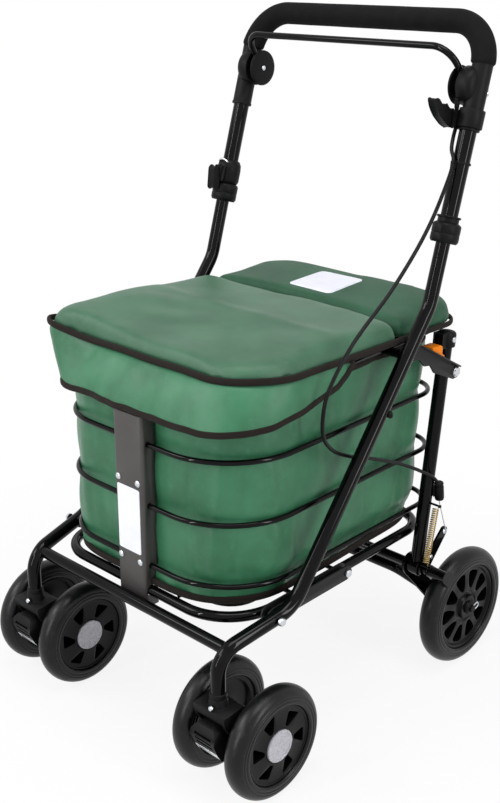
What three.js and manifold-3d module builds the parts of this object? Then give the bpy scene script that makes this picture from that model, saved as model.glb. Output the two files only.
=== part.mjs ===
// Shopping rollator: a tubular walking frame on two twin-wheel casters and two braked rear
// wheels, with a seat that is also the lid of a soft shopping bag held in a basket of rods.
// Millimetres, +Z up, the front (casters) towards -Y, the origin under the middle of the frame.

import * as THREE from 'three';
import { mergeVertices } from 'three/addons/utils/BufferGeometryUtils.js';
import Module from 'manifold-3d';

const wasm = await Module();
wasm.setup();

// Clearances shared by all pieces
const seatGap = 0.3;      // left between pieces that are welded, bolted or resting on each other
const runGap = 0.6;       // left round pins and shafts that turn
const slideGap = 0.4;     // left between telescoping tubes
const cutOver = 2;        // how far a cutting tool runs past the piece it cuts
const cutReach = 400;     // size of the boxes that cut a piece off
const weldTolerance = 1e-4;

// Main frame
const frameTubeRadius = 9.5;
const uprightX = 200;
const stemX = 184;
const bendY = 104.5;
const bendZ = 556;
const footY = -149;
const footZ = 222;
const stemY = -262.5;
const stemTopZ = 198;
const stemBottomZ = 141;
const bendRadius = 60;
const footRadius = 60;
const stemBendRadius = 34;
const innerTubeLength = 190;     // straight stretch above the bend
const crossbarRadius = 8;
const crossbarZ = 197;

// Foot bracket: a folded channel inside the side tube's lower bend
const footBracket = {
  outerX: 189.9, width: 13.4, wall: 2.5, frontY: -172, frontZ: 216, rearY: -32, rearZ: 221, endRadius: 10,
  boltRadius: 5, boltHeight: 3, pinRadius: 4, pinFrontY: -145, pinRearY: -45, pinRise: 3,
};

// Front post: a channel of sheet steel
const postHalfWidth = 26.5;
const postFrontY = -238.5;
const postDepth = 22;
const postWall = 2.5;
const postBottomZ = 188;
const postTopZ = 451;
const postBend = 5;
const postStep = 1;              // the tongue behind the crossbar is set back by this
const postTongueZ = 206;

// Handle
const handleTubeRadius = 11.25;
const handleBoreDepth = 257;     // from the bend up to the end of the hollow
const handleAxisZ = 825;
const collarBottomZ = 636;
const collarHeight = 24;
const collarRadius = 18.5;
const collarWall = 2.2;
const ringHeight = 9;
const ringRadius = 14;
const drumRadius = 24.8;
const drumInnerX = 170;
const drumOuterX = 197;
const drumRim = 3;
const sleeveRadius = 13.4;
const sleeveBottomZ = 772;
const sleeveTopZ = 856;
const sleeveLap = 8;             // how far the bar goes down into the sleeve
const barRadius = 10.5;
const gripRadius = 15.2;
const gripTopZ = 901;
const gripCornerRadius = 51.5;
const gripStartZ = 857;
const handleTurnY = 204.5;

// Clamp on the left upright: a split band with a folded cam lever
const heightClamp = {
  bottomZ: 669.3, topZ: 693, radius: 17.5, earWidth: 14, earDepth: 8, earHeight: 16, earOut: 3,
  slot: 2, leverWidth: 12, leverOut: 12.6, leverRise: 3, leverDrop: 20, leverLean: 3,
  leverTopRadius: 5, leverEndRadius: 4.5,
};

// Brake handle under the grip
const bailRadius = 4.5;
const bailFootX = 178;
const bailFront = 26;
const bailRise = 48;
const bailCornerRight = 33;
const bailCornerLeft = 22;

// Hook for a walking stick, and the cable adjuster behind it
const stickHook = {
  rearY: 158, depth: 40, bottomZ: 775, height: 40, startX: 172, width: 12, webDepth: 5, webTopZ: 798,
  clipWall: 3, clipWidth: 30, clipDepth: 40, clipShift: 6.5,
};
const stickHookShares = [
  [0, 0], [0, 0.6], [-0.125, 0.6], [-0.25, 0.625], [-0.34, 0.725], [-0.41, 0.805], [-0.475, 0.75],
  [-0.55, 0.7125], [-0.64, 0.775], [-0.725, 0.875], [-0.8, 0.95], [-0.9125, 0.99], [-1, 0.975],
  [-0.975, 0.8875], [-0.925, 0.75], [-0.8125, 0.575], [-0.675, 0.4125], [-0.525, 0.2875],
  [-0.35, 0.15], [-0.2, 0.065],
];
const adjuster = { x: 184, topY: 163, topZ: 812, bottomY: 163.9, bottomZ: 777, radius: 3.2 };

// Seat and lid
const lidHalfWidth = 182;
const lidFrontY = -201;
const lidSplitY = 78;
const lidCornerRadius = 76;
const lidLeftCorner = 46;          // the cover is pulled out further at the left front corner
const lidBoardThickness = 3;
const lidBoardInset = 6;
const lidEdgeThickness = 20;
const lidCrown = 10;
const lidDrawIn = 8;
const lidSeamGap = 1.5;
const padSeamCorner = 9;
const rearPadY = 215;
const rearPadHalfWidth = 179;
const rearPadCornerRadius = 44;
const rearPadEdge = 20;
const rearPadCrown = 12;
const rearPadDrawIn = 6;
const rearBoardHalf = 156;
const rearBoardRearY = 205;
const rearBoardCorner = 30;
const seatTubeRadius = 7;
const seatTubeZ = 500;
const seatTubeHalfFront = 170;
const seatTubeHalfRear = 150;
const seatTubeFrontY = -188;
const seatTubeRearY = 205;
const seatTubeFrontCorner = 66;
const seatTubeRearCorner = 44;
const seatLugRadius = 6;
const lidBoardZ = seatTubeZ + seatTubeRadius + seatGap;

// Skirt: how far it flares, how deep it hangs in front and where it runs out on the sides
const skirtThickness = 2.4;
const skirtFrontZ = 456;
const skirtFlareFront = 37;
const skirtFlareSide = 7;
const skirtCornerGrow = 14;
const skirtSideEndY = -20;
const skirtSideCorner = 2;

// Basket
const ringRodRadius = 3.5;
const basketTopZ = 413;
const basketMiddleZ = 330;
const basketLowZ = 246;
const ringLevels = [basketTopZ, basketMiddleZ, basketLowZ];
const ringHalfFront = 174;
const ringHalfRear = 159;
const ringRearY = 198;
const ringFrontCorner = 104;
const ringLeftCorner = 87;
const ringRearCorner = 46;
const platformRadius = 7;
const platformZ = 210;
const platformHalf = 171;
const platformHalfRear = 155;
const platformRearY = 186.5;
const platformFrontCorner = 76;
const platformRearCorner = 52;
const gridWireRadius = 3;
const gridInset = 34;
const gridCornerRadius = 40;
const gridOverlapShare = 0.8;
const gridTopZ = platformZ + gridWireRadius * (2 * gridOverlapShare + 1);

// Bag
const bagHalfFront = 165;
const bagHalfRear = 149;
const bagFrontY = -214;
const bagRearY = 186;
const bagFrontCorner = 94;
const bagLeftCorner = 70;          // the cloth is pulled out further at the left front corner
const bagRearCorner = 44;
const bagBottomZ = gridTopZ + seatGap;
const bagTopZ = 490;
const bagWall = 3;
const bagSwell = 4;
const bagFrontSwellShare = 0.5;
const bagTopDraw = 14;
// Each row: share of the height, share of the swell, share of the top's draw-in in front
const bagRowShares = [
  [0, 0, 0], [0.05, 0.6, 0], [0.105, 0.3, 0], [0.26, 1, 0], [0.41, 0.3, 0], [0.56, 1, 0],
  [0.715, 0.3, 0], [0.8, 0.7, 0.1], [0.9, 0.4, 0.5], [1, 0, 1],
];

// Rear frame
const legX = 176;
const legTubeRadius = 9.5;
const legTopY = 183;
const legTopZ = 500;
const foldPivotY = 187;
const foldPivotZ = 446;
const foldPinRadius = 4;
const foldPinReach = 9;
const foldLug = { legRadius: 8, pivotRadius: 9, width: 12 };
const brakeShaftY = 140.8;
const brakeShaftZ = 160.7;
const brakeShaftRadius = 7;
const bushRadius = 12.5;
const axlePlateThickness = 4;
const axlePlateTopRadius = 15.4;
const axlePlateEndRadius = 13;
const axleCrossRadius = 8;
const axleCrossY = 163;
const axleCrossZ = 130;
const axleCrossHalf = 125;
const axleCrossEndY = 196;
const axleCrossEndZ = 95;
const axleCrossBend = 26;
const rearAxleY = 204.2;
const rearWheelRadius = 87.3;
const rearWheelX = 212;
const rearWheelHalf = 15.6;
const rearAxleRadius = 6;
const rearAxleOver = 3;
const rearSpacerRadius = 10;
const rearSpacerGap = 1;

// Brake shoes, the arm that the cable pulls, the return spring and the cable stop
const brakeShoe = { radius: 8.9, offset: 14, startX: 198, endX: 229 };
const brakeArm = {
  x: 187, thickness: 3.5, topY: 184, topZ: 205, endRadius: 7, rootRadius: 10, holeRadius: 2.2, lap: 1,
};
const springX = 195.5;
const springRadius = 4;
const springWire = 0.9;
const springTurns = 24;
const springPinRadius = 1.6;
const springPinReach = 6.8;
const springTopPinZ = 258;
const springPinBack = 6;
const springPinUp = 8;
const cableStop = {
  x: 190, z: 274, behind: 12, shift: 1, sleeveRadius: 6.5, halfLength: 14, lean: 2, boreRadius: 1.4,
  boreHalf: 21, plateX: 8, plateWidth: 16, plateDepth: 14, plateHeight: 12, plateBack: 4,
  clearHalf: 60,
};

// Fold brackets on the uprights; shares run from the pivot, of the length and of the height
const foldBracket = { x: 187, wall: 3, length: 127, height: 62, bossRadius: 30, flange: 8, flangeLap: 1,
  headRadius: 7, headHeight: 4 };
const foldBracketShares = [
  [-0.969, 1], [-0.63, 0.887], [0.047, 0.129], [0.0715, 0.1], [0.084, -0.04], [0.042, -0.155],
  [-0.028, -0.168], [-0.378, 0.145], [-0.457, 0.355], [-0.559, 0.387], [-0.654, 0.581], [-1, 0.645],
];
const foldFlangeShares = [[-0.63, 0.887], [0.047, 0.129], [0.039, 0.097], [-0.638, 0.855]];

// Leg caps and the catches that hang in front of them
const legCapLap = 18;            // how far the cap goes down over the leg's top
const legCap = {
  frontY: 162.65, depth: 33.35, bottomZ: legTopZ - legCapLap, height: 21, width: 22, inset: 11.5, clearHalf: 50,
};
const legCapShares = [
  [0, 0], [0.91, 0], [1, 0.71], [0.96, 0.93], [0.82, 1], [0.18, 1], [0.04, 0.93], [0, 0.71],
];
const foldCatch = { length: 28, bottomZ: 468, height: 24, width: 18 };
const foldCatchShares = [
  [-0.798, 0.87], [-0.155, 0.86], [0, 0.75], [0, 0.333], [0.202, 0.167], [0.13, 0], [-0.227, 0.25],
  [-0.44, 0.5], [-0.798, 0.625],
];

// Wheels
const tyreShares = { wall: 0.8, shoulder: 0.7, crown: 0.08, crownHalf: 0.5 };
const rimWall = 6;
const rimLip = 5;
const rimRoot = 7;
const rimWeb = 3;
const rimFaceShare = 0.72;
const rimWebShare = 0.2;
const rearRim = {
  seat: 64, boss: 17, windows: 9, windowInner: 30, windowOuter: 54, windowShare: 0.74, footShare: 0.35,
};
const casterRim = {
  seat: 53, boss: 20, windows: 6, windowInner: 29, windowOuter: 45, windowShare: 0.56, footShare: 0.6,
};

// Casters
const casterWheelRadius = 75;
const casterWheelHalf = 15.6;
const casterWheelOffset = 45.9;
const casterTrail = 46.1;
const casterAxleRadius = 5;
const casterForkHalf = 27;
const casterForkWall = 5;
const casterFork = {
  front: 17, rear: 26, topZ: 131, shoulderZ: 121, frontTopZ: 128, bossRadius: 14, slotTopZ: 116,
  slotRearZ: 90, slotReach: 40, slotFlat: 20, slotBottomZ: 20,
};
const casterNeck = { topRadius: 11.5, bottomRadius: 13, height: 16 };

// Foot brake pedal between a caster's wheels; shares run from its pivot
const casterPedal = { pivotY: -259, pivotZ: 100, length: 36, height: 45 };
const pedalTopShares = [
  [0.139, 0.111], [-0.389, 0.289], [-0.55, 0.278], [-0.69, 0.222], [-0.79, 0.111], [-0.861, -0.089],
];
const pedalRibs = 4;
const pedalRibShares = [[0.039, -0.058], [0.1, -0.1244]];
const pedalRearShares = [[-0.306, -0.711], [-0.194, -0.6], [0.139, -0.111]];

// Brake cable: from the right handle joint, round the basket, to the stop on the right leg
const cableRadius = 2.5;
const cableRoute = [
  [184, 163.9, 775.6], [184.5, 159, 765], [190, 148.6, 750], [198, 142.5, 738], [202, 112, 690],
  [203, 78, 648], [204, 22, 597], [206, -58, 540], [206, -98, 492], [205, -105, 462], [201, -98, 434],
  [195, -74, 409], [187, -30, 385], [184, 24, 364], [183.5, 84, 338], [186, 128, 314],
  [189, 152, 298], [190, 160.5, 289.5],
];

// Inner wire from the cable stop to the brake arm
const brakeWire = {
  radius: 0.8, topDrop: 8, topLean: 0.2, bendDrop: 20, bendLean: 2, bendRadius: 10, eyeOut: 3,
  eyeIn: 2, eyeRadius: 1.5,
};

const steelBlack = { color: 0x0c0c0d, roughness: 0.18, metalness: 0.55 };
const plasticBlack = { color: 0x161617, roughness: 0.45, metalness: 0 };
const foamBlack = { color: 0x1b1b1c, roughness: 0.85, metalness: 0 };
const rubberBlack = { color: 0x222222, roughness: 0.6, metalness: 0 };
const vinylGreen = { color: 0x35674c, roughness: 0.42, metalness: 0 };
const plateGrey = { color: 0x5c5c5e, roughness: 0.4, metalness: 0.5 };
const catchOrange = { color: 0xe8821c, roughness: 0.4, metalness: 0 };
const brassYellow = { color: 0xb59a6a, roughness: 0.35, metalness: 0.9 };
const cableBlack = { color: 0x1a1a1a, roughness: 0.5, metalness: 0 };

const group = new THREE.Group();

function vec(x, y, z) {
  return new THREE.Vector3(x, y, z);
}

// Geometry helpers: welding, outward faces, booleans

function signedVolume(geometry) {
  const position = geometry.attributes.position;
  const index = geometry.index;
  const a = vec(0, 0, 0);
  const b = vec(0, 0, 0);
  const c = vec(0, 0, 0);
  let sum = 0;
  for (let i = 0; i < index.count; i += 3) {
    a.fromBufferAttribute(position, index.getX(i));
    b.fromBufferAttribute(position, index.getX(i + 1));
    c.fromBufferAttribute(position, index.getX(i + 2));
    sum += a.dot(b.cross(c));
  }
  return sum;
}

function weld(geometry) {
  geometry.deleteAttribute('normal');
  geometry.deleteAttribute('uv');
  const merged = mergeVertices(geometry, weldTolerance);
  const index = merged.index.array;
  const kept = [];
  for (let i = 0; i < index.length; i += 3) {
    const [p, q, r] = [index[i], index[i + 1], index[i + 2]];
    if (p !== q && q !== r && r !== p) {
      kept.push(p, q, r);
    }
  }
  merged.setIndex(kept);
  if (signedVolume(merged) < 0) {
    for (let i = 0; i < kept.length; i += 3) {
      [kept[i], kept[i + 1]] = [kept[i + 1], kept[i]];
    }
    merged.setIndex(kept);
  }
  return merged;
}

function toManifold(geometry) {
  const welded = weld(geometry.clone());
  const mesh = new wasm.Mesh({
    numProp: 3,
    vertProperties: new Float32Array(welded.attributes.position.array),
    triVerts: new Uint32Array(welded.index.array),
  });
  return new wasm.Manifold(mesh);
}

function fromManifold(solid) {
  const mesh = solid.getMesh();
  const geometry = new THREE.BufferGeometry();
  geometry.setAttribute('position', new THREE.BufferAttribute(new Float32Array(mesh.vertProperties), 3));
  geometry.setIndex(Array.from(mesh.triVerts));
  return geometry;
}

function joined(...geometries) {
  const solids = geometries.map(toManifold);
  return fromManifold(solids.reduce((sum, solid) => sum.add(solid)));
}

function cut(geometry, ...tools) {
  const solid = tools.reduce((rest, tool) => rest.subtract(toManifold(tool)), toManifold(geometry));
  return fromManifold(solid);
}

function mirrored(geometry) {
  return geometry.clone().applyMatrix4(new THREE.Matrix4().makeScale(-1, 1, 1));
}

// A path of straight runs with rounded corners; each corner is { at, radius, steps }

class BentPath extends THREE.Curve {
  constructor(stops) {
    super();
    this.points = [];
    stops.forEach((stop, i) => {
      if (!stop.radius || i === 0 || i === stops.length - 1) {
        this.points.push(stop.at.clone());
        return;
      }
      const into = stops[i - 1].at.clone().sub(stop.at).normalize();
      const out = stops[i + 1].at.clone().sub(stop.at).normalize();
      const half = into.angleTo(out) / 2;
      const reach = stop.radius / Math.tan(half);
      const centre = into.clone().add(out).normalize().multiplyScalar(stop.radius / Math.sin(half));
      centre.add(stop.at);
      const from = stop.at.clone().addScaledVector(into, reach).sub(centre);
      const to = stop.at.clone().addScaledVector(out, reach).sub(centre);
      const sweep = from.angleTo(to);
      const axis = from.clone().cross(to).normalize();
      const steps = stop.steps ?? 5;
      for (let k = 0; k <= steps; k += 1) {
        const spoke = from.clone().applyAxisAngle(axis, sweep * k / steps);
        this.points.push(centre.clone().add(spoke));
      }
    });
  }

  getPoint(t, target = vec(0, 0, 0)) {
    const place = t * (this.points.length - 1);
    const i = Math.min(Math.floor(place), this.points.length - 2);
    return target.lerpVectors(this.points[i], this.points[i + 1], place - i);
  }

  getTangent(t, target = vec(0, 0, 0)) {
    const i = Math.round(t * (this.points.length - 1));
    const before = this.points[Math.max(i - 1, 0)];
    const here = this.points[i];
    const after = this.points[Math.min(i + 1, this.points.length - 1)];
    target.set(0, 0, 0);
    if (i > 0) {
      target.add(here.clone().sub(before).normalize());
    }
    if (i < this.points.length - 1) {
      target.add(after.clone().sub(here).normalize());
    }
    return target.normalize();
  }

  getPointAt(u, target) {
    return this.getPoint(u, target);
  }

  getTangentAt(u, target) {
    return this.getTangent(u, target);
  }
}

function circleShape(radius, sides) {
  const shape = new THREE.Shape();
  for (let i = 0; i < sides; i += 1) {
    const angle = 2 * Math.PI * i / sides;
    const place = [radius * Math.cos(angle), radius * Math.sin(angle)];
    if (i === 0) {
      shape.moveTo(...place);
    } else {
      shape.lineTo(...place);
    }
  }
  shape.closePath();
  return shape;
}

function tube(stops, radius, sides = 12, bore = 0) {
  const path = new BentPath(stops);
  const shape = circleShape(radius, sides);
  if (bore > 0) {
    shape.holes.push(circleShape(bore, sides));
  }
  const steps = path.points.length - 1;
  return new THREE.ExtrudeGeometry(shape, { steps, extrudePath: path, bevelEnabled: false });
}

// A closed loop of tube: the same path, closed, through the tube class that has no ends
function loopTube(points, radius, sides = 8) {
  const curve = new THREE.CatmullRomCurve3(points, true, 'catmullrom', 0);
  curve.getPointAt = (u, target) => curve.getPoint(u, target);
  curve.getTangentAt = (u, target) => curve.getTangent(u, target);
  return new THREE.TubeGeometry(curve, points.length, radius, sides, true);
}

// Corner points of a rounded, tapered outline, front corners first, anticlockwise from above
function roundedOutline(halfFront, halfRear, front, rear, cornerFront, cornerRear, z, steps = 5,
  cornerLeft = cornerFront) {
  const corners = [
    { x: -halfFront, y: front, r: cornerLeft, start: Math.PI },
    { x: halfFront, y: front, r: cornerFront, start: 1.5 * Math.PI },
    { x: halfRear, y: rear, r: cornerRear, start: 0 },
    { x: -halfRear, y: rear, r: cornerRear, start: 0.5 * Math.PI },
  ];
  const points = [];
  corners.forEach(({ x, y, r, start }) => {
    const cx = x - Math.sign(x) * r;
    const cy = y === front ? y + r : y - r;
    for (let k = 0; k <= steps; k += 1) {
      const angle = start + 0.5 * Math.PI * k / steps;
      points.push(vec(cx + r * Math.cos(angle), cy + r * Math.sin(angle), z));
    }
  });
  return points;
}

function outlineShape(points) {
  return new THREE.Shape(points.map((p) => new THREE.Vector2(p.x, p.y)));
}

function slab(points, bottom, height) {
  const geometry = new THREE.ExtrudeGeometry(outlineShape(points), { depth: height, bevelEnabled: false });
  geometry.translate(0, 0, bottom);
  return geometry;
}

// Plates that stand in the YZ plane: outline points are [y, z], the thickness runs along +X
const sidewaysBasis = new THREE.Matrix4().makeBasis(vec(0, 1, 0), vec(0, 0, 1), vec(1, 0, 0));

function sidePlate(shape, startX, thickness) {
  const geometry = new THREE.ExtrudeGeometry(shape, {
    depth: thickness, bevelEnabled: false, curveSegments: 6,
  });
  geometry.applyMatrix4(sidewaysBasis);
  geometry.translate(startX, 0, 0);
  return geometry;
}

// A cylinder along X between two places
function crossPin(x1, x2, y, z, radius, sides = 14) {
  const geometry = new THREE.CylinderGeometry(radius, radius, Math.abs(x2 - x1), sides);
  geometry.rotateZ(Math.PI / 2);
  geometry.translate((x1 + x2) / 2, y, z);
  return geometry;
}

// Outline round two circles in the YZ plane, like a link seen from its side
function linkShape(y1, z1, r1, y2, z2, r2, steps = 4) {
  const along = Math.atan2(z2 - z1, y2 - y1);
  const shape = new THREE.Shape();
  const ends = [[y1, z1, r1, along + Math.PI / 2], [y2, z2, r2, along - Math.PI / 2]];
  ends.forEach(([y, z, r, start], n) => {
    for (let k = 0; k <= steps; k += 1) {
      const angle = start + Math.PI * k / steps;
      const place = [y + r * Math.cos(angle), z + r * Math.sin(angle)];
      if (n === 0 && k === 0) {
        shape.moveTo(...place);
      } else {
        shape.lineTo(...place);
      }
    }
  });
  shape.closePath();
  return shape;
}

// A turned piece about the X axis; the profile is [radius, x] pairs and closes on itself or the axis
function turned(profile, segments, y, z, x = 0) {
  const points = profile.map(([r, h]) => new THREE.Vector2(r, h));
  const geometry = new THREE.LatheGeometry(points, segments);
  geometry.rotateZ(-Math.PI / 2);
  geometry.translate(x, y, z);
  return geometry;
}

function add(name, finish, geometry) {
  const material = new THREE.MeshStandardMaterial(finish);
  const mesh = new THREE.Mesh(weld(geometry), material);
  mesh.name = name;
  group.add(mesh);
  return mesh;
}

function addPair(name, finish, geometry) {
  add(`${name}_right`, finish, geometry.clone());
  add(`${name}_left`, finish, mirrored(geometry));
}

// The line of the uprights above the bend, used by everything on the handle
const riseDirection = vec(0, 0.2812, 0.9596);

function onUpright(z, x = uprightX) {
  const along = (z - bendZ) / riseDirection.z;
  return vec(x, bendY + along * riseDirection.y, z);
}

// A round collar or sleeve on the upright's line
function uprightSleeve(fromZ, toZ, outer, inner, sides = 16) {
  const ends = [{ at: onUpright(fromZ) }, { at: onUpright(toZ) }];
  return tube(ends, outer, sides, inner);
}

// The largest separate body of a solid that a cut has divided
function largest(solid) {
  return fromManifold(solid.decompose().reduce((a, b) => (a.volume() > b.volume() ? a : b)));
}

// An outline in the YZ plane from a table of shares: of a length along Y and of a height along Z
function shareShape(shares, y, z, length, height) {
  return new THREE.Shape(shares.map(([a, b]) => new THREE.Vector2(y + a * length, z + b * height)));
}

function block(width, depth, height, x, y, z) {
  const geometry = new THREE.BoxGeometry(width, depth, height);
  geometry.translate(x, y, z);
  return geometry;
}

// A solid through closed outlines of equal count, from the lowest to the highest
function loft(outlines) {
  const count = outlines[0].length;
  const positions = [];
  const index = [];
  outlines.forEach((outline) => outline.forEach((p) => positions.push(p.x, p.y, p.z)));
  const last = outlines.length - 1;
  for (let row = 0; row < last; row += 1) {
    for (let i = 0; i < count; i += 1) {
      const a = row * count + i;
      const b = row * count + (i + 1) % count;
      index.push(a, b, b + count, a, b + count, a + count);
    }
  }
  const middle = (outline) => outline.reduce((sum, p) => sum.add(p), vec(0, 0, 0)).divideScalar(count);
  const bottom = positions.length / 3;
  positions.push(...middle(outlines[0]).toArray());
  positions.push(...middle(outlines[last]).toArray());
  for (let i = 0; i < count; i += 1) {
    const j = (i + 1) % count;
    index.push(j, i, bottom);
    index.push(last * count + i, last * count + j, bottom + 1);
  }
  const geometry = new THREE.BufferGeometry();
  geometry.setAttribute('position', new THREE.Float32BufferAttribute(positions, 3));
  geometry.setIndex(index);
  return geometry;
}

// Main frame

const diagonalSlope = (bendY - footY) / (bendZ - footZ);
const crossbarY = postFrontY + postStep - seatGap - crossbarRadius;
const rodY = postFrontY + postDepth / 2;

function diagonalY(z) {
  return bendY - diagonalSlope * (bendZ - z);
}

const sideTubeStops = [
  { at: onUpright(bendZ + innerTubeLength * riseDirection.z) },
  { at: vec(uprightX, bendY, bendZ), radius: bendRadius, steps: 4 },
  { at: vec(uprightX, footY, footZ), radius: footRadius, steps: 5 },
  { at: vec(stemX, stemY, stemTopZ), radius: stemBendRadius, steps: 6 },
  { at: vec(stemX, stemY, stemBottomZ) },
];

function sideTube(extra = 0) {
  return tube(sideTubeStops, frameTubeRadius + extra, 12);
}

function buildMainFrame() {
  addPair('side_tube', steelBlack, sideTube());
  const halfBar = stemX + frameTubeRadius;
  const bar = crossPin(-halfBar, halfBar, crossbarY, crossbarZ, crossbarRadius, 14);
  const cope = sideTube(seatGap);
  const inside = crossPin(-stemX, stemX, crossbarY, crossbarZ, crossbarRadius + cutOver, 8);
  const trimmed = toManifold(cut(bar, cope, mirrored(cope))).intersect(toManifold(inside));
  add('front_crossbar', steelBlack, largest(trimmed));
}

// Basket platform: its path is also used to cope what is bolted to it

const platformStops = [
  { at: vec(postHalfWidth - 2 * postWall, rodY, platformZ) },
  { at: vec(platformHalf, rodY, platformZ), radius: platformFrontCorner, steps: 5 },
  { at: vec(platformHalfRear, platformRearY, platformZ), radius: platformRearCorner, steps: 4 },
  { at: vec(-platformHalfRear, platformRearY, platformZ), radius: platformRearCorner, steps: 4 },
  { at: vec(-platformHalf, rodY, platformZ), radius: platformFrontCorner, steps: 5 },
  { at: vec(2 * postWall - postHalfWidth, rodY, platformZ) },
];

function platformTube(extra = 0) {
  return tube(platformStops, platformRadius + extra, 10);
}

// Foot bracket: two cheeks and a web inside the side tube, pinned to the basket platform

function buildFootBrackets() {
  const { outerX, width, wall, frontY, frontZ, rearY, rearZ, endRadius } = footBracket;
  const cheekOutline = linkShape(frontY, frontZ, endRadius, rearY, rearZ, endRadius);
  const innerX = outerX - width;
  const inner = sidePlate(cheekOutline, innerX, wall);
  const outer = sidePlate(cheekOutline, outerX - wall, wall);
  const webShape = new THREE.Shape();
  webShape.moveTo(frontY, frontZ - endRadius);
  webShape.lineTo(rearY, rearZ - endRadius);
  webShape.lineTo(rearY, rearZ - endRadius + wall);
  webShape.lineTo(frontY, frontZ - endRadius + wall);
  webShape.closePath();
  const web = sidePlate(webShape, innerX + wall / 2, width - wall);
  const { boltRadius, boltHeight, pinRadius, pinFrontY, pinRearY, pinRise } = footBracket;
  const bolt = crossPin(innerX + wall / 2, outerX + boltHeight, rearY, rearZ, boltRadius, 10);
  const pins = [pinFrontY, pinRearY].map((y) => (
    crossPin(platformHalfRear, innerX + wall / 2, y, platformZ + pinRise, pinRadius, 10)));
  const body = cut(joined(inner, outer, web, bolt, ...pins), sideTube(seatGap), platformTube(seatGap));
  addPair('foot_bracket', plateGrey, largest(toManifold(body)));
}

// Front post: a channel, open to the rear, that the basket rods enter from its sides

function postSection() {
  const w = postHalfWidth;
  const back = postFrontY + postDepth;
  const steps = 3;
  const outline = [];
  const arc = (cx, cy, r, from, to) => {
    for (let k = 0; k <= steps; k += 1) {
      const angle = from + (to - from) * k / steps;
      outline.push(new THREE.Vector2(cx + r * Math.cos(angle), cy + r * Math.sin(angle)));
    }
  };
  outline.push(new THREE.Vector2(-w, back));
  arc(-w + postBend, postFrontY + postBend, postBend, Math.PI, 1.5 * Math.PI);
  arc(w - postBend, postFrontY + postBend, postBend, 1.5 * Math.PI, 2 * Math.PI);
  outline.push(new THREE.Vector2(w, back));
  outline.push(new THREE.Vector2(w - postWall, back));
  arc(w - postBend, postFrontY + postBend, postBend - postWall, 2 * Math.PI, 1.5 * Math.PI);
  arc(-w + postBend, postFrontY + postBend, postBend - postWall, 1.5 * Math.PI, Math.PI);
  outline.push(new THREE.Vector2(-w + postWall, back));
  return new THREE.Shape(outline);
}

function buildPost() {
  const depth = postTopZ - postBottomZ;
  const channel = new THREE.ExtrudeGeometry(postSection(), { depth, bevelEnabled: false });
  channel.translate(0, 0, postBottomZ);
  const reach = postHalfWidth + cutOver;
  const holes = ringLevels.map((z) => crossPin(-reach, reach, rodY, z, ringRodRadius + seatGap, 12));
  holes.push(crossPin(-reach, reach, rodY, platformZ, platformRadius + 2 * seatGap, 14));
  const step = block(2 * reach, cutReach, cutReach, 0, postFrontY + postStep - cutReach / 2,
    postTongueZ - cutReach / 2);
  add('front_post', plateGrey, cut(channel, step, ...holes));
}

// Basket: three rods bent round the bag, a heavier platform tube below, and a grid of wires in it

function buildBasket() {
  const inPost = postHalfWidth - 2 * postWall;
  ringLevels.forEach((z, n) => {
    const stops = [
      { at: vec(inPost, rodY, z) },
      { at: vec(ringHalfFront, rodY, z), radius: ringFrontCorner, steps: 6 },
      { at: vec(ringHalfRear, ringRearY, z), radius: ringRearCorner, steps: 4 },
      { at: vec(-ringHalfRear, ringRearY, z), radius: ringRearCorner, steps: 4 },
      { at: vec(-ringHalfFront, rodY, z), radius: ringLeftCorner, steps: 6 },
      { at: vec(-inPost, rodY, z) },
    ];
    add(`basket_ring_${n + 1}`, steelBlack, tube(stops, ringRodRadius, 6));
  });
  add('platform_frame', steelBlack, platformTube());
  const innerHalf = platformHalf - gridInset;
  const innerHalfRear = platformHalfRear - gridInset;
  const innerFront = rodY + gridInset;
  const innerRear = platformRearY - gridInset;
  const ringPoints = roundedOutline(innerHalf, innerHalfRear, innerFront, innerRear,
    gridCornerRadius, gridCornerRadius, platformZ, 3);
  const wires = [loopTube(ringPoints, gridWireRadius, 6)];
  const clear = platformRadius + 2 * seatGap;
  const taper = (platformHalf - platformHalfRear) / (platformRearY - rodY);
  const acrossCount = 3;
  for (let i = 1; i <= acrossCount; i += 1) {
    const y = innerFront + (innerRear - innerFront) * i / (acrossCount + 1);
    const half = platformHalf - taper * (y - rodY) - clear;
    wires.push(crossPin(-half, half, y, platformZ, gridWireRadius, 6));
  }
  const alongCount = 3;
  for (let i = 1; i <= alongCount; i += 1) {
    const x = innerHalf * (2 * i / (alongCount + 1) - 1);
    const overZ = platformZ + 2 * gridOverlapShare * gridWireRadius;
    const pastPost = Math.abs(x) < postHalfWidth ? postDepth / 2 : 0;
    wires.push(tube([
      { at: vec(x, rodY + pastPost + clear, overZ) }, { at: vec(x, platformRearY - clear, overZ) },
    ], gridWireRadius, 6));
  }
  add('platform_grid', steelBlack, joined(...wires));
}

// Bag: a soft tub, open at the top, that swells between the rods and draws in under the seat

function buildBag() {
  const height = bagTopZ - bagBottomZ;
  const outline = ([heightShare, swellShare, drawShare], inset) => {
    const out = bagSwell * swellShare - inset;
    const z = bagBottomZ + height * heightShare;
    return roundedOutline(bagHalfFront + out, bagHalfRear + out,
      bagFrontY - bagFrontSwellShare * out + inset * (1 - bagFrontSwellShare) + bagTopDraw * drawShare, bagRearY + Math.min(out, 0),
      bagFrontCorner + out, bagRearCorner + Math.min(out, 0), z, 5, bagLeftCorner + out);
  };
  const outer = loft(bagRowShares.map((row) => outline(row, 0)));
  const innerRows = bagRowShares.map((row) => outline(row, bagWall));
  const atHeight = (row, z) => row.map((p) => vec(p.x, p.y, z));
  const inner = loft([
    atHeight(innerRows[0], bagBottomZ + bagWall),
    ...innerRows.slice(1),
    atHeight(innerRows[innerRows.length - 1], bagTopZ + cutOver),
  ]);
  add('bag', vinylGreen, cut(outer, inner));
}

// Seat frame: a loop of tube between the uprights that carries the lid

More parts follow.
